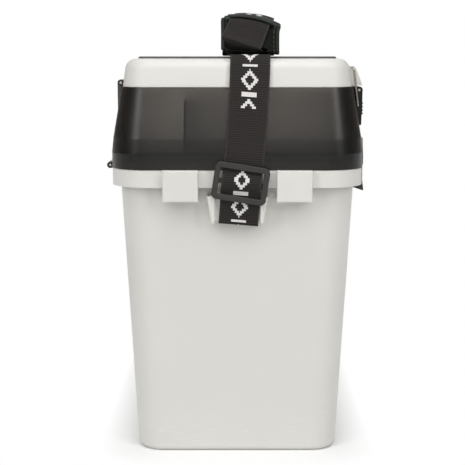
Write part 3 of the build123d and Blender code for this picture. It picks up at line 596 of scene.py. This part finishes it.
@dataclass(frozen=True)
class ClosedCellFoam(Finish):
    """Cross-linked polyethylene foam, cut from a sheet: matt, with tiny open cells on its skin."""

    colour: str = "#5E5D5C"
    pit: str = "#474645"
    cell_mm: float = 1.6
    cell_depth_mm: float = 0.3
    cell_strength: float = 0.5
    cell_share: float = 0.5
    cloud_mm: float = 33.3
    roughness: float = 0.88

    def dress(self, tree: bpy.types.NodeTree) -> Inputs:
        """Add the cells and a cloudy tone.

        Args:
            tree: Node tree of the material.

        Returns:
            Inputs of the shader.
        """
        place = add_node(tree, "ShaderNodeTexCoord").outputs["Object"]
        # Real cells are about 0.4 mm, and are drawn four times as large so that they show.
        cells = add_node(
            tree, "ShaderNodeTexVoronoi", {"Vector": place, "Scale": 1 / (self.cell_mm * MM)}
        ).outputs["Distance"]
        cloud = add_node(
            tree, "ShaderNodeTexNoise", {"Vector": place, "Scale": 1 / (self.cloud_mm * MM), "Detail": 4.0}
        ).outputs[0]
        mottled = add_node(
            tree,
            "ShaderNodeMath",
            {0: cells, 1: self.cell_share, 2: cloud},
            operation="MULTIPLY_ADD",
            use_clamp=True,
        ).outputs[0]
        depth = {"Strength": self.cell_strength, "Distance": self.cell_depth_mm * MM}
        return {
            "Base Color": add_node(
                tree,
                "ShaderNodeMix",
                {0: mottled, 6: linear(self.pit), 7: linear(self.colour)},
                data_type="RGBA",
            ).outputs[2],
            "Normal": add_node(tree, "ShaderNodeBump", {"Height": cells, **depth}).outputs[0],
            "Roughness": self.roughness,
        }


LIGHT_GREY = MouldedPlastic("polypropylene_light_grey", "#E0DED9", "#D9D7D2", 0.44, rub_below_mm=70.0)
# The fourth colour of each smoked finish is painted shade for its corners and skirt.
SMOKED = SmokedPlastic("styrene_smoked", "#F2F0EE", "#DEDBD8", "#807B76", "#C5C1BC", 570.0)
CLEAR_SMOKE = SmokedPlastic(
    "styrene_divider", "#FCFBFA", "#F8F7F6", "#F4F3F2", "#C4C1BF", 40.0, roughness=0.22
)
BLACK_NYLON = MouldedPlastic(
    "nylon_black", "#1A1918", "#131312", 0.42, grain_mm=0.9, flow_mm=20.0, specular=0.25
)
GREY_NYLON = MouldedPlastic(
    "nylon_dark_grey", "#3C3A38", "#343230", 0.45, grain_mm=0.9, flow_mm=20.0, specular=0.3
)
STEEL = BrightSteel("zinc_plated_steel")
WEBBING = WovenWebbing("polypropylene_webbing")
PAD_CLOTH = PadCloth("coated_nylon_cover")
BINDING = PadCloth("coated_nylon_binding", colour="#3A3F3A", gap="#2A2E2A", half_width_mm=40.0)
FOAM = ClosedCellFoam("polyethylene_foam")


def dress(node: str, finish: Finish) -> None:
    """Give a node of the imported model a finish.

    Args:
        node: Name of the node.
        finish: Finish of the whole node.
    """
    piece = frame["nodes"][node]
    if not piece.material_slots:
        piece.data.materials.append(None)
    for material_slot in piece.material_slots:
        material_slot.material = finish.material()
    log.info("%s: %s", node, finish.name)


def new_piece(name: str, form: bmesh.types.BMesh, finish: Finish) -> bpy.types.Object:
    """Turn a form into a linked piece with a finish.

    Args:
        name: Name of the piece.
        form: Mesh under construction, which is used up.
        finish: Finish of the whole piece.

    Returns:
        The piece, at the origin.
    """
    mesh = bpy.data.meshes.new(name)
    form.to_mesh(mesh)
    form.free()
    mesh.materials.append(finish.material())
    piece = bpy.data.objects.new(name, mesh)
    bpy.context.scene.collection.objects.link(piece)
    log.info("%s: %s", name, finish.name)
    return piece


def settle(piece: bpy.types.Object, sharp_degrees: float = 40.0) -> None:
    """Apply a piece's modifiers to its mesh and shade it smooth up to an angle.

    Args:
        piece: Piece with its modifiers.
        sharp_degrees: Edges that bend more than this stay sharp.
    """
    bpy.context.view_layer.update()
    graph = bpy.context.evaluated_depsgraph_get()
    finished = bpy.data.meshes.new_from_object(piece.evaluated_get(graph))
    piece.modifiers.clear()
    old = piece.data
    piece.data = finished
    bpy.data.meshes.remove(old)
    finished.name = piece.name
    finished.shade_smooth()
    finished.set_sharp_from_angle(angle=radians(sharp_degrees))


def thicken(piece: bpy.types.Object, thickness: float) -> None:
    """Give a band its thickness, half to each side.

    Args:
        piece: The band.
        thickness: Thickness of its cloth.
    """
    wall = piece.modifiers.new("thickness", "SOLIDIFY")
    wall.thickness = thickness
    wall.offset = 0.0


def smooth_line(points: list[Vector], detail: int) -> list[Vector]:
    """Follow a route on one smooth spline.

    Args:
        points: The route's points, which are the spline's control points.
        detail: Points on the line for each control point.

    Returns:
        Points along the spline, in order.
    """
    curve = bpy.data.curves.new("route", "CURVE")
    curve.dimensions = "3D"
    curve.resolution_u = detail
    spline = curve.splines.new("NURBS")
    spline.points.add(len(points) - 1)
    for control, point in zip(spline.points, points):
        control.co = (*point, 1.0)
    spline.order_u = 3
    spline.use_endpoint_u = True
    holder = bpy.data.objects.new("route", curve)
    mesh = bpy.data.meshes.new_from_object(holder)
    line = [vertex.co.copy() for vertex in mesh.vertices]
    bpy.data.objects.remove(holder)
    bpy.data.curves.remove(curve)
    bpy.data.meshes.remove(mesh)
    return line


def lengths_along(line: list[Vector]) -> list[float]:
    """Measure along a line.

    Args:
        line: Points in order.

    Returns:
        Distance from the line's start to each of its points.
    """
    travelled = [0.0]
    for before, after in zip(line, line[1:]):
        travelled.append(travelled[-1] + (after - before).length)
    return travelled


def band(
    line: list[Vector], sides: list[Vector], along: list[float], crowns: list[float], columns: int
) -> bmesh.types.BMesh:
    """Lay a grid along a line as a flat or crowned band.

    Args:
        line: Middle of the band, row by row.
        sides: From the middle to the band's edge, row by row.
        along: Distance along the cloth, row by row.
        crowns: How far the middle rises above the edges, row by row.
        columns: Faces across the band.

    Returns:
        The band, with a UV map named cloth in metres across and along.
    """
    form = bmesh.new()
    rows = len(line) - 1
    bmesh.ops.create_grid(form, x_segments=columns, y_segments=rows, size=1.0)
    cloth = form.loops.layers.uv.new("cloth")
    places = {vert: (vert.co.x, round((vert.co.y + 1) / 2 * rows)) for vert in form.verts}
    for face in form.faces:
        for loop in face.loops:
            share, row = places[loop.vert]
            loop[cloth].uv = (share * sides[row].length, along[row])
    for vert, (share, row) in places.items():
        crown = Vector((0.0, 0.0, crowns[row] * (1 - share * share)))
        vert.co = line[row] + sides[row] * share + crown
    return form


@dataclass
class Bundle:
    """How the strap and the shoulder pad lean where they stand up at the near end of the seat."""

    middle: float = -12.2 * MM
    foot: float = 398.0 * MM
    slot: float = 405.5 * MM
    crest: float = 437.0 * MM
    slot_slope: float = 0.2
    strap_slope: float = 0.33
    crest_slope: float = 0.12
    level_from: float = 60.0 * MM
    lean_from: float = 100.0 * MM

    def lift(self, point: Vector, slot_slope: float) -> Vector:
        """Raise a point at the back of the bundle, and lower one at its front.

        Args:
            point: Point of the strap or pad, as if it stood level.
            slot_slope: How steeply the strap or pad leans at the height of the slot.

        Returns:
            The point where it really is.
        """
        if point.z <= self.slot:
            slope = slot_slope * max(point.z - self.foot, 0.0) / (self.slot - self.foot)
        else:
            share = min((point.z - self.slot) / (self.crest - self.slot), 1.0)
            slope = slot_slope + (self.crest_slope - slot_slope) * share
        standing = min(max((-point.x - self.level_from) / (self.lean_from - self.level_from), 0.0), 1.0)
        return point + Vector((0.0, 0.0, (point.y - self.middle) * slope * standing))

    def line(self, route: LooseRoute, detail: int) -> tuple[list[Vector], list[float]]:
        """Follow a route of the bundle.

        Args:
            route: Distance from the box's middle, height, shift to the back and crown, in millimetres.
            detail: Points on the line for each point of the route.

        Returns:
            Points along the middle, and the crown at each of them.
        """
        middle = [Vector((-u * MM, self.middle + shift * MM, z * MM)) for u, z, shift, _ in route]
        crowns = [Vector((crown * MM, place * MM, 0.0)) for place, (_, _, _, crown) in enumerate(route)]
        return smooth_line(middle, detail), [point.x for point in smooth_line(crowns, detail)]


@dataclass
class Strap:
    """Carrying strap: round a bar on each end of the bucket, through a slider and over the lid.

    Routes give (distance from the box's middle along X, height), in millimetres as in the part's source.
    """

    width: float = 38.0 * MM
    thickness: float = 1.4 * MM
    lean_degrees: float = 4.5
    offset: float = -3.7 * MM
    bow: float = 1.7 * MM
    slider_height: float = 277.0 * MM
    lean_ends_below: float = 372.0 * MM
    lean_ends_at: float = 396.0 * MM
    tray_seam: float = 333.0 * MM
    lid_seam: float = 389.0 * MM
    tray_blend_from: float = 298.0 * MM
    lid_blend_from: float = 345.0 * MM
    columns: int = 8
    detail: int = 10
    bundle: Bundle = field(default_factory=Bundle)
    end_route: Route = field(
        default_factory=lambda: [
            (182.92, 269.0),
            (177.62, 264.0),
            (177.62, 250.0),
            (177.5, 236.9),
            (184.9, 236.9),
            (184.72, 248.0),
            (186.6, 259.0),
            (186.85, 266.9),
            (190.55, 272.9),
            (190.55, 281.1),
            (186.85, 287.1),
            (186.95, 297.5),
            (186.0, 306.0),
            (184.0, 315.0),
            (178.9, 342.0),
            (174.7, 366.7),
            (172.2, 380.0),
            (170.2, 390.5),
        ]
    )
    top_route: LooseRoute = field(
        default_factory=lambda: [
            (166.8, 396.7, 0.0, 0.0),
            (158.0, 396.7, 0.0, 0.0),
            (141.0, 396.5, 3.0, 0.0),
            (161.5, 405.0, 9.5, 0.0),
            (156.5, 408.5, 7.5, 0.0),
            (154.0, 418.0, 4.0, 0.8),
            (152.4, 427.5, 0.5, 1.8),
            (147.0, 430.0, -1.0, 1.9),
            (131.0, 431.4, -3.0, 1.9),
            (106.0, 437.0, -6.0, 2.2),
            (86.0, 430.6, -5.0, 1.9),
            (65.0, 410.0, -1.0, 0.5),
            (52.0, 402.4, 0.0, 0.0),
            (40.0, 401.9, 0.0, 0.0),
            (2.5, 401.9, 0.0, 0.0),
            (-25.5, 396.7, 0.0, 0.0),
            (-100.0, 396.7, 0.0, 0.0),
            (-158.0, 396.7, 0.0, 0.0),
            (-166.8, 396.7, 0.0, 0.0),
        ]
    )

    def lean(self, height: float) -> float:
        """How far the strap leans at a height, in radians."""
        share = (height - self.lean_ends_below) / (self.lean_ends_at - self.lean_ends_below)
        return radians(self.lean_degrees) * (1 - min(max(share, 0.0), 1.0))

    def across(self, height: float) -> float:
        """Place the strap's middle across an end of the box.

        Args:
            height: Height on the end.

        Returns:
            Y of the middle.
        """
        rise = min(height, self.lean_ends_at) - self.slider_height
        share = rise / (self.lean_ends_at - self.slider_height)
        straight = self.offset + (self.bundle.middle - self.offset) * share
        return straight - self.bow * sin(pi * max(share, 0.0))

    def line(self) -> tuple[list[Vector], list[float]]:
        """Follow the whole strap from its sewn end at the near bar to the one at the far bar.

        Returns:
            Points along the strap's middle, and the crown at each of them.
        """
        middle = self.bundle.middle
        near = [(u, z, (self.across(z * MM) - middle) / MM, 0.0) for u, z in self.end_route]
        far = [(-u, z, shift, crown) for u, z, shift, crown in reversed(near)]
        return self.bundle.line(near + self.top_route + far, self.detail)

    def build(self) -> list[bpy.types.Object]:
        """Make the strap in five pieces that meet at the tiers' seams.

        Returns:
            The pieces, from the near bar to the far bar.
        """
        line, crowns = self.line()
        along = lengths_along(line)
        sides = []
        for point in line:
            lean = self.lean(point.z)
            sides.append(Vector((0.0, cos(lean), sin(lean))) * self.width / 2)
        crest = max(range(len(line)), key=lambda row: line[row].z)
        last = len(line) - 1
        tray_near = next(row for row in range(crest) if line[row].z > self.tray_seam)
        lid_near = next(row for row in range(crest) if line[row].z > self.lid_seam)
        tray_far = next(row for row in range(last, crest, -1) if line[row].z > self.tray_seam)
        lid_far = next(row for row in range(last, crest, -1) if line[row].z > self.lid_seam)
        log.info("strap: %.0f mm of webbing from end to end", along[-1] / MM)
        cuts = [
            ("strap_lower_near", 0, tray_near),
            ("strap_upper_near", tray_near, lid_near),
            ("strap_over_lid", lid_near, lid_far),
            ("strap_upper_far", lid_far, tray_far),
            ("strap_lower_far", tray_far, last),
        ]
        pieces = []
        for name, first, final in cuts:
            rows = slice(first, final + 1)
            form = band(line[rows], sides[rows], along[rows], crowns[rows], self.columns)
            if name == "strap_over_lid":
                for vert in form.verts:
                    if vert.co.x < 0:
                        vert.co = self.bundle.lift(vert.co, self.bundle.strap_slope)
            piece = new_piece(name, form, WEBBING)
            thicken(piece, self.thickness)
            settle(piece)
            pieces.append(piece)
        self.fasten(pieces)
        return pieces

    def fasten(self, pieces: list[bpy.types.Object]) -> None:
        """Let the piece over the lid follow the lid, and let the pieces stand for their nodes.

        Args:
            pieces: The five pieces, from the near bar to the far bar.
        """
        lower_near, upper_near, over_lid, upper_far, lower_far = pieces
        ends = ((End.NEAR, lower_near, upper_near), (End.FAR, lower_far, upper_far))
        for end, lower, upper in ends:
            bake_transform(lower)
            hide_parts(f"strap_loop_{end.label}", f"strap_tray_strand_{end.label}")
            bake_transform(upper)
            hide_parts(f"strap_lid_strand_{end.label}")
        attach(over_lid, "lid")
        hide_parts("strap_top")


@dataclass
class ShoulderPad:
    """Padded sleeve on the strap: it stands up at the near end of the seat and lies down along it."""

    width: float = 56.0 * MM
    thickness: float = 4.6 * MM
    strap_width: float = 40.0 * MM
    margin_rise: float = 2.6 * MM
    margin_steepness: float = 1.4
    slot_low: float = 400.8 * MM
    slot_high: float = 404.8 * MM
    slot_shift: float = 4.5 * MM
    front_from: float = 140.0 * MM
    front_fade: float = 8.0 * MM
    sharp_degrees: float = 60.0
    columns: int = 28
    detail: int = 9
    bundle: Bundle = field(default_factory=Bundle)
    route: LooseRoute = field(
        default_factory=lambda: [
            (156.6, 398.9, 0.0, 0.0),
            (153.6, 406.0, 0.0, 0.0),
            (151.0, 415.0, 0.0, 0.5),
            (148.8, 423.0, 0.0, 3.0),
            (143.8, 424.8, -1.0, 4.0),
            (131.0, 425.9, -2.0, 4.0),
            (106.0, 430.8, -3.0, 5.0),
            (87.0, 423.6, -3.0, 4.0),
            (66.0, 404.2, -1.0, 1.0),
            (52.0, 398.9, 0.0, 0.0),
            (40.0, 398.4, 0.0, 0.0),
            (2.5, 398.4, 0.0, 0.0),
        ]
    )
    keeper_width: float = 44.0 * MM
    keeper_thickness: float = 1.2 * MM
    keeper_route: LooseRoute = field(
        default_factory=lambda: [
            (152.6, 428.9, -0.5, 2.9),
            (151.0, 430.8, -0.5, 2.9),
            (147.6, 431.4, -1.0, 2.9),
            (144.2, 431.7, -1.5, 2.9),
        ]
    )

    def keeper(self) -> bpy.types.Object:
        """Make the bound edge of the pad that the strap passes under at its first bend.

        Returns:
            The keeper.
        """
        line, crowns = self.bundle.line(self.keeper_route, self.detail)
        along = lengths_along(line)
        side = Vector((0.0, self.keeper_width / 2, 0.0))
        form = band(line, [side] * len(line), along, crowns, self.columns)
        for vert in form.verts:
            vert.co = self.bundle.lift(vert.co, self.bundle.strap_slope)
        piece = new_piece("shoulder_pad_keeper", form, BINDING)
        thicken(piece, self.keeper_thickness)
        settle(piece, self.sharp_degrees)
        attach(piece, "lid")
        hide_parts("shoulder_pad")
        return piece

    def build(self) -> bpy.types.Object:
        """Make the pad with its slot, raised margins and rounded edges.

        Returns:
            The pad.
        """
        line, crowns = self.bundle.line(self.route, self.detail)
        along = lengths_along(line)
        log.info("shoulder pad: %.0f mm from end to end", along[-1] / MM)
        side = Vector((0.0, self.width / 2, 0.0))
        form = band(line, [side] * len(line), along, crowns, self.columns)
        form.normal_update()
        half_slot = self.strap_width / 2
        slot_middle = self.bundle.middle + self.slot_shift
        front = []
        for face in form.faces:
            middle = face.calc_center_median()
            beside = abs(middle.y - slot_middle) < half_slot
            if self.slot_low < middle.z < self.slot_high and beside and middle.x < -self.front_from:
                front.append(face)
        up_and_near = Vector((-0.5, 0.0, 1.0))
        raised = []
        for vert in form.verts:
            beyond = (abs(vert.co.y - self.bundle.middle) - half_slot) / (self.width / 2 - half_slot)
            margin = min(max(beyond * self.margin_steepness, 0.0), 1.0)
            standing = min(max((-vert.co.x - self.front_from) / self.front_fade, 0.0), 1.0)
            outward = vert.normal if vert.normal.dot(up_and_near) > 0 else -vert.normal
            raised.append((vert, outward * self.margin_rise * standing * margin))
        bmesh.ops.delete(form, geom=front, context="FACES")
        for vert, move in raised:
            if vert.is_valid:
                vert.co = self.bundle.lift(vert.co + move, self.bundle.slot_slope)
        piece = new_piece("shoulder_pad_cover", form, PAD_CLOTH)
        thicken(piece, self.thickness)
        soft = piece.modifiers.new("soft", "SUBSURF")
        soft.levels = 1
        soft.render_levels = 1
        settle(piece, self.sharp_degrees)
        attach(piece, "lid")
        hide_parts("shoulder_pad")
        return piece


@dataclass
class SeatPad:
    """Foam pad in the lid's recess: a flat slab with rounded corners and a soft upper edge."""

    corner: float = 20.0 * MM
    corner_segments: int = 8
    edge: float = 1.8 * MM
    edge_segments: int = 4
    rim: float = 5.0 * MM
    dip: float = 0.25 * MM
    sharp_degrees: float = 50.0

    def build(self) -> bpy.types.Object:
        """Make the slab in the place of its node.

        Returns:
            The seat pad.
        """
        low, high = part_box("seat_pad")
        form = bmesh.new()
        bmesh.ops.create_cube(form, size=1.0)
        bmesh.ops.scale(form, verts=form.verts, vec=high - low)
        bmesh.ops.translate(form, verts=form.verts, vec=(low + high) / 2)
        upright = [
            edge for edge in form.edges if abs(edge.verts[0].co.z - edge.verts[1].co.z) > self.edge
        ]
        bmesh.ops.bevel(
            form,
            geom=upright,
            offset=self.corner,
            segments=self.corner_segments,
            profile=0.5,
            affect="EDGES",
            material=-1,
        )
        top = [
            edge for edge in form.edges if min(vert.co.z for vert in edge.verts) > high.z - self.edge
        ]
        bmesh.ops.bevel(
            form,
            geom=top,
            offset=self.edge,
            segments=self.edge_segments,
            profile=0.5,
            affect="EDGES",
            material=-1,
        )
        deck = max(form.faces, key=lambda face: face.calc_area() * face.normal.z)
        bmesh.ops.inset_region(form, faces=[deck], thickness=self.rim, depth=0.0)
        bmesh.ops.inset_region(form, faces=[deck], thickness=self.rim, depth=-self.dip)
        piece = new_piece("seat_pad_foam", form, FOAM)
        settle(piece, self.sharp_degrees)
        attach(piece, "lid")
        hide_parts("seat_pad")
        return piece


@dataclass
class Mouldings:
    """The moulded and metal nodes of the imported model, which keep their shapes and get finishes here."""

    dividers: int = 3
    wires: tuple[str, ...] = (
        "lid_hinge_pin",
        "tray_hinge_pin",
        "lid_latch_pin",
        "body_latch_pin",
        "lid_latch_bail",
    )

    def dress(self) -> None:
        """Give each shell, divider, hinge, latch and slider its finish."""
        dress("bucket", LIGHT_GREY)
        dress("lid", LIGHT_GREY)
        dress("tray", SMOKED)
        for number in range(self.dividers):
            dress(f"tray_divider_{number + 1}", CLEAR_SMOKE)
        for end in End:
            for wire in self.wires:
                dress(f"{wire}_{end.label}", STEEL)
            dress(f"lid_latch_lever_{end.label}", BLACK_NYLON)
            dress(f"body_latch_{end.label}", GREY_NYLON)
            dress(f"strap_slider_{end.label}", GREY_NYLON)


@dataclass(frozen=True)
class Lamp:
    """An oblong soft lamp: its power in watts, its width and height, and where it hangs."""

    name: str
    power: float
    size: tuple[float, float]
    place: tuple[float, float, float]

    def hang(self, target: Vector) -> None:
        """Hang the lamp.

        Args:
            target: What the lamp faces.
        """
        light = bpy.data.lights.new(self.name, "AREA")
        light.energy = self.power
        light.shape = "RECTANGLE"
        light.size, light.size_y = self.size
        holder = bpy.data.objects.new(self.name, light)
        holder.location = self.place
        holder.rotation_euler = (target - holder.location).to_track_quat("-Z", "Y").to_euler()
        bpy.context.scene.collection.objects.link(holder)


@dataclass
class Studio:
    """Pale floor, white surroundings, soft lamps and the camera at the photograph's viewing angle."""

    floor_size: float = 12.0
    floor_colour: str = "#F4F4F3"
    foot: tuple[float, float, float] = (0.15, 0.09, 0.0)
    fade_from: float = 0.004
    fade_to: float = 0.05
    ambient: float = 0.24
    white_within: float = 0.15
    dark_beyond: float = 0.45
    side_glow: float = 0.08
    lamps: tuple[Lamp, ...] = (
        Lamp("left", 13.7, (0.35, 1.3), (-1.4, 1.35, 1.35)),
        Lamp("right", 13.2, (0.35, 1.3), (-1.4, -1.35, 1.35)),
        Lamp("top", 20.0, (1.2, 1.2), (-0.9, 0.0, 2.1)),
    )
    lit_point: tuple[float, float, float] = (0.0, 0.0, 0.22)
    camera_place: tuple[float, float, float] = (-1.151, 0.0047, 0.395)
    camera_pitch_degrees: float = 9.73
    lens_mm: float = 79.28
    clip_start: float = 0.02

    def floor(self) -> None:
        """Lay a pale floor that keeps the shadow near the box and is white further out."""
        form = bmesh.new()
        bmesh.ops.create_grid(form, x_segments=1, y_segments=1, size=self.floor_size / 2)
        mesh = bpy.data.meshes.new("floor")
        form.to_mesh(mesh)
        form.free()
        material = bpy.data.materials.new("pale_floor")
        material.use_nodes = True
        tree = material.node_tree
        tree.nodes.clear()
        place = add_node(tree, "ShaderNodeTexCoord").outputs["Object"]
        # Distance from the foot of the box, whose corner is at the size given by foot.
        away = add_node(tree, "ShaderNodeVectorMath", {0: place}, operation="ABSOLUTE").outputs[0]
        for operation, other in (("SUBTRACT", self.foot), ("MAXIMUM", (0.0, 0.0, 0.0))):
            away = add_node(tree, "ShaderNodeVectorMath", {0: away, 1: other}, operation=operation).outputs[0]
        distance = add_node(tree, "ShaderNodeVectorMath", {0: away}, operation="LENGTH").outputs["Value"]
        fade = {0: distance, 1: self.fade_from, 2: self.fade_to}
        far = add_node(tree, "ShaderNodeMapRange", fade).outputs[0]
        rays = add_node(tree, "ShaderNodeLightPath").outputs
        shown = rays["Is Camera Ray"]
        for ray in ("Is Glossy Ray", "Is Transmission Ray"):
            shown = add_node(tree, "ShaderNodeMath", {0: shown, 1: rays[ray]}, operation="MAXIMUM").outputs[0]
        share = add_node(tree, "ShaderNodeMath", {0: far, 1: shown}, operation="MULTIPLY").outputs[0]
        pale = add_node(tree, "ShaderNodeBsdfDiffuse", {"Color": linear(self.floor_colour)}).outputs[0]
        white = add_node(tree, "ShaderNodeEmission", {"Color": (1, 1, 1, 1), "Strength": 1.0}).outputs[0]
        mixed = add_node(tree, "ShaderNodeMixShader", {0: share, 1: pale, 2: white}).outputs[0]
        add_node(tree, "ShaderNodeOutputMaterial", {"Surface": mixed})
        mesh.materials.append(material)
        ground = bpy.data.objects.new("floor", mesh)
        bpy.context.scene.collection.objects.link(ground)

    def surroundings(self) -> None:
        """Make the world white to the eye and a plain soft light to the box."""
        world = bpy.data.worlds.new("studio")
        bpy.context.scene.world = world
        world.use_nodes = True
        tree = world.node_tree
        tree.nodes.clear()
        rays = add_node(tree, "ShaderNodeLightPath").outputs
        # The eye sees white all round, also through clear plastic. Reflections see it along X, and
        # a dark room to the sides, as the dark edges of the smoked tray show.
        direction = add_node(tree, "ShaderNodeTexCoord").outputs["Generated"]
        ray = add_node(tree, "ShaderNodeSeparateXYZ", {0: direction})
        sideways = add_node(tree, "ShaderNodeMath", {0: ray.outputs[1]}, operation="ABSOLUTE").outputs[0]
        room = add_node(
            tree,
            "ShaderNodeMapRange",
            {0: sideways, 1: self.white_within, 2: self.dark_beyond, 3: 1.0, 4: self.side_glow},
        ).outputs[0]
        seen = add_node(
            tree,
            "ShaderNodeMath",
            {0: rays["Is Camera Ray"], 1: rays["Is Transmission Ray"]},
            operation="MAXIMUM",
        ).outputs[0]
        glossy = {0: rays["Is Glossy Ray"], 2: self.ambient, 3: room}
        lit = add_node(tree, "ShaderNodeMix", glossy).outputs[0]
        strength = add_node(tree, "ShaderNodeMix", {0: seen, 2: lit, 3: 1.0}).outputs[0]
        backdrop = {"Color": (1, 1, 1, 1), "Strength": strength}
        white = add_node(tree, "ShaderNodeBackground", backdrop).outputs[0]
        add_node(tree, "ShaderNodeOutputWorld", {"Surface": white})

    def camera(self) -> None:
        """Set the camera square on the near end, a little above the lid."""
        lens = bpy.data.cameras.new("camera")
        lens.lens = self.lens_mm
        lens.clip_start = self.clip_start
        holder = bpy.data.objects.new("camera", lens)
        holder.location = self.camera_place
        holder.rotation_euler = Euler((radians(90.0 - self.camera_pitch_degrees), 0.0, radians(-90.0)))
        bpy.context.scene.collection.objects.link(holder)
        bpy.context.scene.camera = holder

    def build(self) -> None:
        """Set up the whole studio."""
        self.floor()
        self.surroundings()
        for lamp in self.lamps:
            lamp.hang(Vector(self.lit_point))
        self.camera()
        bpy.context.scene.view_settings.view_transform = "Standard"


def clear_stock() -> None:
    """Remove what Blender's own start-up file holds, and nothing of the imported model."""
    kept = set(frame["nodes"].values()) | set(frame["bodies"].values())
    for stray in [thing for thing in bpy.data.objects if thing not in kept]:
        bpy.data.objects.remove(stray)


def main() -> None:
    """Build the studio and dress the box, sub-assembly by sub-assembly."""
    logging.basicConfig(level=logging.INFO, format="%(message)s")
    clear_stock()
    Studio().build()
    Mouldings().dress()
    Strap().build()
    shoulder_pad = ShoulderPad()
    shoulder_pad.build()
    shoulder_pad.keeper()
    SeatPad().build()


if __name__ == "__main__":
    main()
